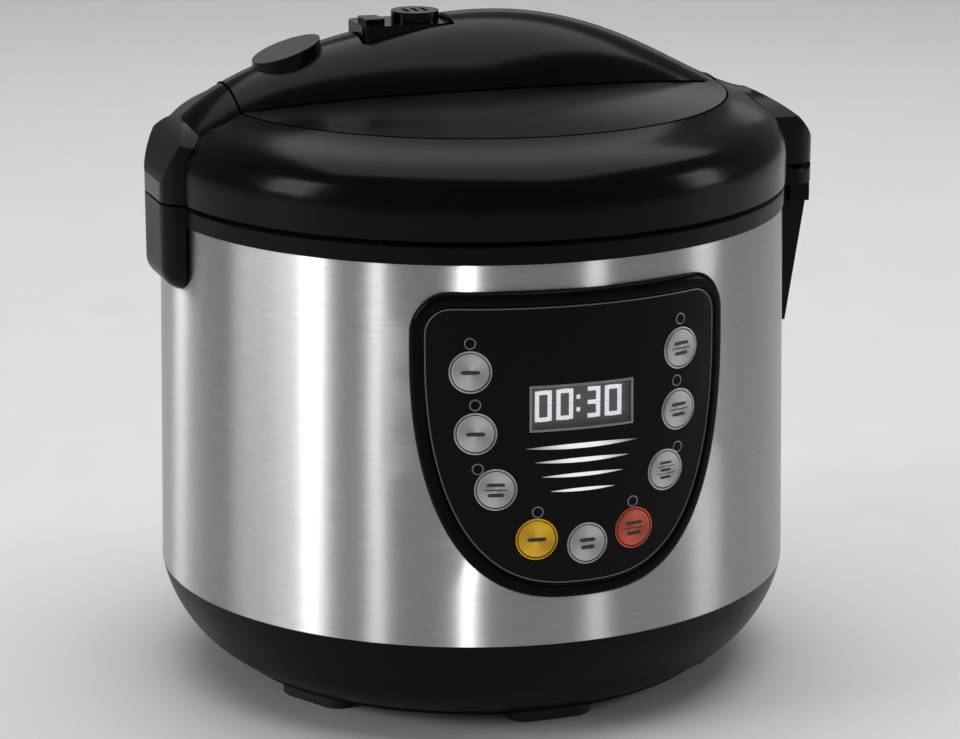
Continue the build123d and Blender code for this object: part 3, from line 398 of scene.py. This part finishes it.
def brushed_steel():
    """Steel brushed round the drum: long fine streaks in colour, gloss and height."""
    mat, tree, shader = material("brushed_steel", colours().steel, metallic=1.0,
                                 anisotropic=1.0, anisotropic_rotation=0.25)
    coord = tree.nodes.new("ShaderNodeTexCoord")
    shift = node(tree, "ShaderNodeMapping", vector_type="POINT")
    shift.inputs["Location"].default_value = (-AXIS_X, 0, 0)
    tree.links.new(coord.outputs["Object"], shift.inputs["Vector"])
    split = tree.nodes.new("ShaderNodeSeparateXYZ")
    tree.links.new(shift.outputs["Vector"], split.inputs[0])
    angle = node(tree, "ShaderNodeMath", operation="ARCTAN2")
    tree.links.new(split.outputs["X"], angle.inputs[0])
    tree.links.new(split.outputs["Y"], angle.inputs[1])
    around = node(tree, "ShaderNodeCombineXYZ")
    tree.links.new(angle.outputs[0], around.inputs["X"])
    tree.links.new(split.outputs["Z"], around.inputs["Z"])
    streak = node(tree, "ShaderNodeMapping")
    streak.inputs["Scale"].default_value = (5.0, 1.0, 5200.0)
    tree.links.new(around.outputs[0], streak.inputs["Vector"])
    fine = noise(tree, streak.outputs["Vector"], 1.0, 6.0, 0.65)
    coarse = node(tree, "ShaderNodeMapping")
    coarse.inputs["Scale"].default_value = (9.0, 1.0, 900.0)
    tree.links.new(around.outputs[0], coarse.inputs["Vector"])
    band = noise(tree, coarse.outputs["Vector"], 1.0, 4.0, 0.6)
    ramp = node(tree, "ShaderNodeMix", data_type="RGBA")
    dark = tuple(0.86 * c for c in colours().steel)
    ramp.inputs[6].default_value = (*dark, 1)
    ramp.inputs[7].default_value = (*colours().steel, 1)
    tree.links.new(spread(tree, band, 0.0, 1.0), ramp.inputs[0])
    tree.links.new(ramp.outputs[2], shader.inputs["Base Color"])
    tree.links.new(spread(tree, fine, 0.27, 0.36), shader.inputs["Roughness"])
    bump(tree, shader, fine, 0.000012, 0.6)
    tangent = node(tree, "ShaderNodeTangent", direction_type="RADIAL", axis="Z")
    tree.links.new(tangent.outputs["Tangent"], shader.inputs["Tangent"])
    return mat


def spun_key_painted_sheen(name, colour):
    """Key cap paint over spun rings, with a painted conic sheen: two sectors painted lighter and two
    painted darker in the colour.
    """
    mat, tree, shader = material(name, colour, metallic=0.3, anisotropic=0.7)
    tangent = node(tree, "ShaderNodeTangent", direction_type="UV_MAP")
    tree.links.new(tangent.outputs["Tangent"], shader.inputs["Tangent"])
    coord = tree.nodes.new("ShaderNodeTexCoord")
    split = tree.nodes.new("ShaderNodeSeparateXYZ")
    tree.links.new(coord.outputs["UV"], split.inputs[0])
    turn = node(tree, "ShaderNodeMath", operation="MULTIPLY_ADD")
    turn.inputs[1].default_value = 4 * np.pi
    turn.inputs[2].default_value = -2.2
    tree.links.new(split.outputs["X"], turn.inputs[0])
    painted_sheen_wave = node(tree, "ShaderNodeMath", operation="COSINE")
    tree.links.new(turn.outputs[0], painted_sheen_wave.inputs[0])
    # painted highlight and shade: the key colour lightened to 1.22 and darkened to 0.72 in sectors round
    # the cap
    mix = node(tree, "ShaderNodeMix", data_type="RGBA")
    mix.inputs[6].default_value = (*(0.72 * c for c in colour), 1)
    mix.inputs[7].default_value = (*(min(1.0, 1.22 * c) for c in colour), 1)
    tree.links.new(spread(tree, painted_sheen_wave.outputs[0], 0.0, 1.0, -1.0, 1.0), mix.inputs[0])
    tree.links.new(mix.outputs[2], shader.inputs["Base Color"])
    rings = node(tree, "ShaderNodeMapping")
    rings.inputs["Scale"].default_value = (1.0, 160.0, 1.0)
    tree.links.new(coord.outputs["UV"], rings.inputs["Vector"])
    fine = noise(tree, rings.outputs["Vector"], 3.0, 4.0)
    tree.links.new(spread(tree, fine, 0.30, 0.42), shader.inputs["Roughness"])
    bump(tree, shader, fine, 0.00001, 0.5)
    return mat


def plain(name, colour, rough, metallic=0.0, grain=900.0, depth=0.00001, emission=0.0, gloss=0.5):
    """A simple finish with fine grain in its gloss and height."""
    mat, tree, shader = material(name, colour, metallic=metallic, specular_ior_level=gloss)
    fac = noise(tree, place(tree, (1, 1, 1)), grain, 3.0)
    tree.links.new(spread(tree, fac, rough * 0.85, rough * 1.15), shader.inputs["Roughness"])
    bump(tree, shader, fac, depth, 0.4)
    if emission:
        shader.inputs["Emission Color"].default_value = (*colour, 1)
        shader.inputs["Emission Strength"].default_value = emission
    return mat


def clear_pane():
    """Faintly tinted clear pane."""
    mat, tree, shader = material("clear_pane", (0.25, 0.26, 0.27), roughness=0.08, alpha=0.16,
                                 ior=1.45)
    fac = noise(tree, place(tree, (1, 1, 1)), 300.0, 2.0)
    bump(tree, shader, fac, 0.000004, 0.3)
    return mat


def dress(piece, mat):
    """Puts one material on every slot of a piece."""
    piece.data.materials.clear()
    piece.data.materials.append(mat)


def dress_node(name, mat):
    """Puts a material on a CAD node's slots, its mesh untouched."""
    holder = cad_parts[name]
    if not holder.material_slots:
        holder.data.materials.append(mat)
    for place_in in holder.material_slots:
        place_in.material = mat


# ---- stage ----
CAMERA_PLACE = Vector((AXIS_X - 0.4332, -1.2628, 0.4814))
CAMERA_LOOK = Vector((0.3160, 0.9130, -0.2595))
SENSOR = 36.0
FLOOR_HALF = 6.0
AIM = (AXIS_X, 0.0, 0.14)
WORLD_COLOUR = (0.95, 0.96, 0.97, 1)
WORLD_STRENGTH = 0.16
STRIP_DISTANCE = 2.3
# strip lights, which light the drum alone:
# (degrees round from the camera, width, height, watts, height of middle)
STRIPS = [
    (-57.0, 0.34, 1.3, 20.0, 0.80),
    (-33.0, 0.20, 1.3, 9.0, 0.80),
    (-1.5, 0.09, 1.3, 19.0, 0.80),
    (44.0, 0.26, 1.3, 7.0, 0.80),
    (-84.0, 0.7, 1.3, 9.0, 0.8),
    (-128.0, 0.4, 1.3, 16.0, 0.8),
]
# soft lights: (name, place, what it faces, width, height, watts)
SOFT_LIGHTS = [
    ("top_light", (AXIS_X + 0.25, 0.35, 2.1), AIM, 2.6, 2.6, 40.0),
    ("back_light", (AXIS_X + 0.3, 3.4, 1.2), (AXIS_X, 0.0, 0.25), 4.6, 0.8, 4.5),
    ("left_light", (AXIS_X - 2.8, -0.2, 1.1), (AXIS_X, 0.0, 0.2), 0.9, 1.5, 24.0),
    ("right_light", (AXIS_X + 2.8, -0.9, 0.9), (AXIS_X, 0.0, 0.2), 0.7, 1.4, 14.0),
]


def add_area(scene, name, where, aim, width, height, power):
    """A rectangular area light that faces a point."""
    lamp = bpy.data.lights.new(name, "AREA")
    lamp.shape = "RECTANGLE"
    lamp.size = width
    lamp.size_y = height
    lamp.energy = power
    holder = bpy.data.objects.new(name, lamp)
    holder.location = where
    holder.rotation_euler = (Vector(aim) - Vector(where)).to_track_quat("-Z", "Y").to_euler()
    scene.collection.objects.link(holder)
    return holder


def add_strip(scene, turn, width, height, power, rise):
    """A strip light standing on a circle round the object."""
    a = np.radians(turn)
    where = (AXIS_X + STRIP_DISTANCE * np.sin(a), -STRIP_DISTANCE * np.cos(a), rise)
    return add_area(scene, f"strip_{round(turn)}", where, (AXIS_X, 0.0, rise), width, height, power)


class COOKER_OT_stage(bpy.types.Operator):
    """Floor, backdrop light, strip lights and the camera."""

    bl_idname = "cooker.stage"
    bl_label = "Stage"

    def execute(self, context):
        scene = context.scene
        world = bpy.data.worlds.new("studio")
        scene.world = world
        world.use_nodes = True
        background = world.node_tree.nodes["Background"]
        background.inputs["Color"].default_value = WORLD_COLOUR
        background.inputs["Strength"].default_value = WORLD_STRENGTH
        scene.view_settings.view_transform = "Standard"
        half = FLOOR_HALF
        floor = surface("floor", np.array([[[-half, -half, 0], [-half, half, 0]],
                                           [[half, -half, 0], [half, half, 0]]]))
        dress(floor, plain("floor_paint", colours().floor, 0.6, grain=30.0, depth=0.00005))
        camera = bpy.data.cameras.new("camera")
        camera.lens = sizes().camera_lens
        camera.sensor_width = SENSOR
        camera.clip_end = 50.0
        holder = bpy.data.objects.new("camera", camera)
        holder.location = CAMERA_PLACE
        holder.rotation_euler = CAMERA_LOOK.to_track_quat("-Z", "Y").to_euler()
        scene.collection.objects.link(holder)
        scene.camera = holder
        to_camera = np.degrees(np.arctan2(CAMERA_PLACE.x - AXIS_X, -CAMERA_PLACE.y))
        lit = bpy.data.collections.new("strip_lit")
        lit.objects.link(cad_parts["steel_drum"])
        for turn, *shape in STRIPS:
            strip = add_strip(scene, to_camera + turn, *shape)
            strip.light_linking.receiver_collection = lit
        for light in SOFT_LIGHTS:
            add_area(scene, *light)
        return {"FINISHED"}


# ---- pieces ----
class COOKER_OT_shell_finishes(bpy.types.Operator):
    """Finishes of the drum, lid, base, collar and ears."""

    bl_idname = "cooker.shell_finishes"
    bl_label = "Shell finishes"

    def execute(self, context):
        gloss, satin, lid = gloss_black(), satin_black(), lid_black()
        dress_node("steel_drum", brushed_steel())
        for name in ("lid_shell", "lid_disc", "lid_spine"):
            dress_node(name, lid)
        for name in ("release_button", "steam_valve_cap", "panel_bezel", "panel_face"):
            dress_node(name, gloss)
        for name in ("base_shell", "bottom_cover", "mains_inlet", "top_ring", "latch_pillar",
                     "hinge_tower", "condensate_cup", "keypad_carrier", "steam_valve_base"):
            dress_node(name, satin)
        dress_node("foot_pads", plain("foot_rubber", (0.012, 0.012, 0.012), 0.7, grain=600.0))
        return {"FINISHED"}


class COOKER_OT_inside_finishes(bpy.types.Operator):
    """Finishes of the pot, heater, boards and fasteners."""

    bl_idname = "cooker.inside_finishes"
    bl_label = "Inside finishes"

    def execute(self, context):
        bright = plain("bright_steel", (0.62, 0.62, 0.62), 0.28, 1.0)
        sheet = plain("plain_sheet", (0.55, 0.56, 0.57), 0.42, 1.0, 300.0)
        rubber = plain("silicone", (0.26, 0.26, 0.27), 0.6)
        board = plain("board_green", (0.012, 0.09, 0.04), 0.4, 0.0, 500.0)
        dark = plain("dark_case", (0.03, 0.03, 0.035), 0.35)
        for name in ("switch_domes", "sensor_spring", "button_spring", "hinge_spring", "hinge_pin",
                     "base_screws", "lid_screws", "latch_catch"):
            dress_node(name, bright)
        for name in ("inner_well", "heater_posts", "sensor_sleeve", "board_posts", "latch_guide",
                     "inner_cover", "inner_plate"):
            dress_node(name, sheet)
        for name in ("seal_ring", "plate_knob"):
            dress_node(name, rubber)
        for name in ("control_board", "power_board"):
            dress_node(name, board)
        for name in ("capacitors", "latch_slider"):
            dress_node(name, dark)
        dress_node("heater_plate", plain("cast_plate", (0.60, 0.60, 0.61), 0.35, 1.0, 200.0))
        dress_node("sensor_cap", plain("sensor_metal", (0.62, 0.62, 0.62), 0.3, 1.0))
        dress_node("cooking_pot", plain("pot_coating", (0.055, 0.055, 0.058), 0.38, 0.0, 700.0, 0.00003))
        dress_node("transformer", plain("wound_tape", (0.30, 0.16, 0.05), 0.5))
        dress_node("heater_relay", plain("relay_case", (0.02, 0.06, 0.24), 0.25))
        dress_node("membrane_circuit", plain("printed_film", (0.45, 0.40, 0.28), 0.4))
        dress_node("inlet_blades", plain("plated_blade", (0.78, 0.68, 0.42), 0.25, 1.0))
        dress_node("display_module", plain("display_ground", colours().display, 0.5))
        dress_node("display_digits", plain("lit_digit", colours().digit, 0.4, emission=0.75))
        dress_node("display_window", clear_pane())
        # the stripes' highlight and glow are painted into their material
        dress_node("accent_stripes", silver_stripe_painted_highlight())
        dress_node("indicator_lenses", plain("dark_lens", (0.002, 0.002, 0.0022), 0.3, gloss=0.1))
        for name in KEY_NAMES:
            dress_node(name, sheet)
        return {"FINISHED"}


class COOKER_OT_panel_trim(bpy.types.Operator):
    """The panel's bevelled frame, its thin light edge line, the display's border and the rings round the
    lights.
    """

    bl_idname = "cooker.panel_trim"
    bl_label = "Panel frame and trim"

    def execute(self, context):
        s = sizes()
        top = s.frame_proud
        wide = s.frame_width
        frame_piece = outline_ring("panel_frame", [
            (0.0, 0.1 * MM), (0.0, 0.9 * MM), (0.25 * MM, 1.45 * MM), (1.0 * MM, 2.2 * MM),
            (1.9 * MM, top - 0.1 * MM), (2.6 * MM, top), (4.4 * MM, top), (5.2 * MM, top - 0.12 * MM),
            (wide - 0.3 * MM, 2.25 * MM), (wide, 1.9 * MM), (wide, 0.5 * MM), (8.0 * MM, 0.4 * MM),
            (8.0 * MM, -1.0 * MM), (4.9 * MM, -1.0 * MM), (4.9 * MM, -9.5 * MM),
            (2.9 * MM, -9.5 * MM), (2.9 * MM, 0.1 * MM),
        ])
        dress(frame_piece, frame_black())
        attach(frame_piece, "housing")
        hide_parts("panel_bezel")
        grey = plain("printed_line", (0.16, 0.16, 0.165), 0.35, 0.4)
        inner = wide + 0.35 * MM
        line = outline_ring("face_edge_line", [
            (inner, s.face_proud - 0.1 * MM), (inner, s.face_proud + 0.06 * MM),
            (inner + s.line, s.face_proud + 0.06 * MM), (inner + s.line, s.face_proud - 0.1 * MM)])
        dress(line, grey)
        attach(line, "housing")
        low, high = np.array(WINDOW_LOW), np.array(WINDOW_HIGH)
        half_w = DRUM_R * np.arcsin((high[0] - low[0]) / 2 / DRUM_R)
        border = rect_ring("display_border", (low[2] + high[2]) / 2, half_w, (high[2] - low[2]) / 2)
        dress(border, plain("display_border", (0.27, 0.275, 0.285), 0.35, 0.3))
        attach(border, "housing")
        rings = []
        for low, high in lens_boxes():
            middle = (low + high) / 2
            ring = turned_on_wall("ring", arc_of(middle), middle[2], ring_profile(1.85 * MM, 2.35 * MM),
                                  48, closed=True)
            rings.append(ring)
        lamp_rings = joined("lamp_rings", rings)
        dress(lamp_rings, plain("lamp_ring", (0.24, 0.24, 0.25), 0.35, 0.5))
        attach(lamp_rings, "housing")
        return {"FINISHED"}


def flat_bar(name, arc, z, half_w, half_h, low, high):
    """A low closed bar on the wall, round at its ends: at u, which runs from -1 to 1 along it,
    it reaches half_h (1 - |u|^6)^(1/3) above and below its middle line."""
    u = np.linspace(-1, 1, 17)
    h = half_h * (1 - np.abs(u) ** 6).clip(0) ** (1 / 3)
    up = np.stack([h, h, -h, -h])
    proud = np.stack([0 * h + low, 0 * h + high, 0 * h + high, 0 * h + low])
    points = wall_point(arc + half_w * np.broadcast_to(u, up.shape), z + up, proud)
    return surface(name, points, close_rows=True, flip=True)


def ring_profile(inner, outer):
    """Section of a low ring that stands on the face."""
    foot = sizes().face_proud - 0.15 * MM
    top = sizes().face_proud + 0.22 * MM
    return [(outer, foot), (outer, top - 0.08 * MM), (outer - 0.08 * MM, top),
            (inner + 0.08 * MM, top), (inner, top - 0.08 * MM), (inner, foot)]


def rect_ring(name, z, half_w, half_h):
    """A thin ring round the display: a low section carried round a rectangle."""
    rows = []
    foot, top = sizes().face_proud - 0.1 * MM, sizes().face_proud + 0.14 * MM
    t = np.linspace(-1, 1, 25)
    for grow, proud in ((0.0, foot), (0.0, top), (-0.9 * MM, top), (-0.9 * MM, foot)):
        w, h = half_w + grow, half_h + grow
        x = np.concatenate([w * t[:-1], w + 0 * t[:-1], -w * t[:-1], -w + 0 * t[:-1]])
        y = np.concatenate([-h + 0 * t[:-1], h * t[:-1], h + 0 * t[:-1], -h * t[:-1]])
        rows.append(wall_point(x, z + y, proud))
    return surface(name, np.array(rows), close_rows=True, close_cols=True, flip=True)


def lens_boxes():
    """Lowest and highest corners of each indicator lens, from the loose parts of its node."""
    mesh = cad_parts["indicator_lenses"].data
    points = np.empty(len(mesh.vertices) * 3, dtype=np.float32)
    mesh.vertices.foreach_get("co", points)
    points = points.reshape(-1, 3)
    shape = np.stack([points[:, 0], points[:, 2]], axis=-1)
    left = np.ones(len(points), dtype=bool)
    found = []
    while left.any():
        seed = shape[left][0]
        near = left & (np.hypot(*(shape - seed).T) < 6.5 * MM)
        found.append((points[near].min(axis=0), points[near].max(axis=0)))
        left &= ~near
    return found


def tube_along(name, path, radius, steps=10, closed=False):
    """A round section carried along a path; its frame is the path's direction and the up axis."""
    path = np.asarray(path)
    if closed:
        ahead = np.roll(path, -1, axis=0) - np.roll(path, 1, axis=0)
    else:
        ahead = np.gradient(path, axis=0)
    ahead /= np.linalg.norm(ahead, axis=1, keepdims=True)
    side = np.cross(ahead, [0, 0, 1.0])
    side /= np.linalg.norm(side, axis=1, keepdims=True)
    up = np.cross(side, ahead)
    turn = np.linspace(0, 2 * np.pi, steps, endpoint=False)
    size = np.full(len(path), radius)
    if not closed:
        size[0] = size[-1] = 0.0
    ring = np.cos(turn)[None, :, None] * side[:, None] + np.sin(turn)[None, :, None] * up[:, None]
    points = path[:, None] + size[:, None, None] * ring
    return surface(name, points, close_rows=closed, close_cols=True)


def rest_on(name, x, y):
    """Heights of a CAD node's outer surface over given places, found by rays from above."""
    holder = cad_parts[name]
    heights = []
    for px, py in zip(x, y):
        hit, where, _, _ = holder.ray_cast(Vector((px, py, 1.0)), Vector((0, 0, -1)))
        heights.append(where.z if hit else np.nan)
    return np.array(heights)


class COOKER_OT_lid_seams(bpy.types.Operator):
    """Painted shade: thin matt black tubes laid in the gaps round the lid's disc and along the foot of
    its raised band.
    """

    bl_idname = "cooker.lid_seams"
    bl_label = "Lid seams"

    def execute(self, context):
        black = painted_gap_shade()
        low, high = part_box("lid_disc")
        seam_r = (high[0] - low[0]) / 2 + 0.4 * MM
        turn = np.linspace(0, 2 * np.pi, 240, endpoint=False)
        x, y = AXIS_X + seam_r * np.cos(turn), seam_r * np.sin(turn)
        shell, spine = rest_on("lid_shell", AXIS_X + (seam_r + 1.5 * MM) * np.cos(turn),
                               (seam_r + 1.5 * MM) * np.sin(turn)), rest_on("lid_spine", x, y)
        z = np.where(np.isnan(spine), shell + 0.55 * MM, np.fmax(spine, shell))
        # painted shade: a black tube over the gap round the disc
        gap = tube_along("disc_seam", np.stack([x, y, z], axis=-1), 0.5 * MM, closed=True)
        dress(gap, black)
        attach(gap, "lid")
        feet = []
        for side in (-1, 1):
            along = np.linspace(-1, 1, 90)
            x = AXIS_X + along * 0.93 * seam_r
            y = side * self.foot(along * 0.93)
            z = rest_on("lid_disc", x, y)
            good = ~np.isnan(z)
            path = np.stack([x, y, z + 0.05 * MM], axis=-1)[good]
            feet.append(tube_along("foot", path, 0.5 * MM))
        # painted shade: black tubes along the foot of the raised band
        line = joined("spine_seam", feet)
        dress(line, black)
        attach(line, "lid")
        return {"FINISHED"}

    def foot(self, share):
        """Where the raised band meets the disc: rays step outwards from its middle line."""
        width = np.linspace(14 * MM, 46 * MM, 65)
        edge = np.zeros(len(share))
        seam_r = (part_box("lid_disc")[1][0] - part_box("lid_disc")[0][0]) / 2
        for i, part in enumerate(share):
            x = np.full(len(width), AXIS_X + part * seam_r)
            over = rest_on("lid_spine", x, width) > rest_on("lid_disc", x, width)
            edge[i] = width[np.nonzero(over)[0][-1]] if over.any() else np.nan
        good = ~np.isnan(edge)
        edge = np.interp(share, share[good], edge[good])
        return np.convolve(np.pad(edge, 3, mode="edge"), np.ones(7) / 7, mode="valid")


class COOKER_OT_keys(bpy.types.Operator):
    """Nine spun key caps with their rings and generic marks."""

    bl_idname = "cooker.keys"
    bl_label = "Keys"

    def execute(self, context):
        s, c = sizes(), colours()
        # each key paint carries a painted conic sheen: lighter and darker sectors round the cap
        paints = {
            "key_timer": spun_key_painted_sheen("key_amber", c.key_amber),
            "key_reheat": spun_key_painted_sheen("key_red", c.key_red),
        }
        grey = spun_key_painted_sheen("key_grey", c.key_grey)
        ink = plain("key_ink", c.mark, 0.5)
        for name in KEY_NAMES:
            middle = node_centre(name)
            arc = arc_of(middle)
            paint = paints.get(name, grey)
            top = 2.7 * MM
            cap = turned_on_wall(name + "_cap", arc, middle[2], [
                (0.0, top - 0.10 * MM), (2.5 * MM, top - 0.09 * MM), (5.0 * MM, top - 0.05 * MM),
                (6.6 * MM, top), (6.95 * MM, top), (7.2 * MM, top - 0.12 * MM),
                (s.key_r - 0.12 * MM, top - 0.35 * MM), (s.key_r, top - 0.7 * MM),
                (s.key_r, 0.5 * MM), (s.key_r, -0.1 * MM), (8.3 * MM, -0.1 * MM), (8.3 * MM, -1.3 * MM),
                (0.0, -1.3 * MM)], s.rim_steps)
            dress(cap, paint)
            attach(cap, name + "_body")
            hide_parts(name)
            ring = turned_on_wall(name + "_ring", arc, middle[2],
                                  ring_profile(7.85 * MM, s.ring_r), s.rim_steps, closed=True)
            dress(ring, paint)
            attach(ring, "housing")
            marks = [flat_bar("mark", arc, middle[2] + up * MM, half * MM, thick * MM, top - 0.12 * MM,
                              top + 0.03 * MM) for up, half, thick in KEY_MARKS[name]]
            mark = joined(name + "_mark", marks)
            dress(mark, ink)
            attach(mark, name + "_body")
        return {"FINISHED"}


# printed marks on each key: (height above its centre, half length, half thickness), mm
ONE_BAR = [(0.0, 3.9, 0.75)]
SPLIT_BARS = [(2.1, 3.9, 0.7), (0.0, 5.6, 0.2), (-2.1, 3.3, 0.7)]
TWO_BARS = [(1.5, 3.4, 0.8), (-1.5, 2.9, 0.8)]
THREE_BARS = [(3.0, 3.0, 0.55), (1.5, 5.0, 0.16), (0.0, 2.6, 0.55), (-1.5, 5.0, 0.16),
              (-3.0, 2.8, 0.55)]
KEY_MARKS = {
    "key_fry": ONE_BAR, "key_pilaf": ONE_BAR, "key_oatmeal": SPLIT_BARS, "key_timer": ONE_BAR,
    "key_cook_time": TWO_BARS, "key_reheat": SPLIT_BARS, "key_soup": THREE_BARS,
    "key_stew": SPLIT_BARS, "key_bake": SPLIT_BARS,
}


class COOKER_PT_panel(bpy.types.Panel):
    """Lists the steps in the sidebar."""

    bl_idname = "COOKER_PT_panel"
    bl_label = "Multicooker"
    bl_space_type = "VIEW_3D"
    bl_region_type = "UI"
    bl_category = "Multicooker"

    def draw(self, context):
        for step in STEPS:
            self.layout.operator(step.bl_idname)


STEPS = [
    COOKER_OT_stage,
    COOKER_OT_shell_finishes,
    COOKER_OT_inside_finishes,
    COOKER_OT_panel_trim,
    COOKER_OT_lid_seams,
    COOKER_OT_keys,
]
CLASSES = [CookerSizes, CookerColours, *STEPS, COOKER_PT_panel]


def register():
    """Registers the classes and the scene's settings."""
    for cls in CLASSES:
        bpy.utils.register_class(cls)
    bpy.types.Scene.cooker_sizes = PointerProperty(type=CookerSizes)
    bpy.types.Scene.cooker_colours = PointerProperty(type=CookerColours)


def unregister():
    """Removes them again."""
    del bpy.types.Scene.cooker_colours
    del bpy.types.Scene.cooker_sizes
    for cls in reversed(CLASSES):
        bpy.utils.unregister_class(cls)


def main():
    """Registers the add-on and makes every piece."""
    register()
    for step in STEPS:
        group, name = step.bl_idname.split(".")
        getattr(getattr(bpy.ops, group), name)()


if __name__ == "__main__":
    main()
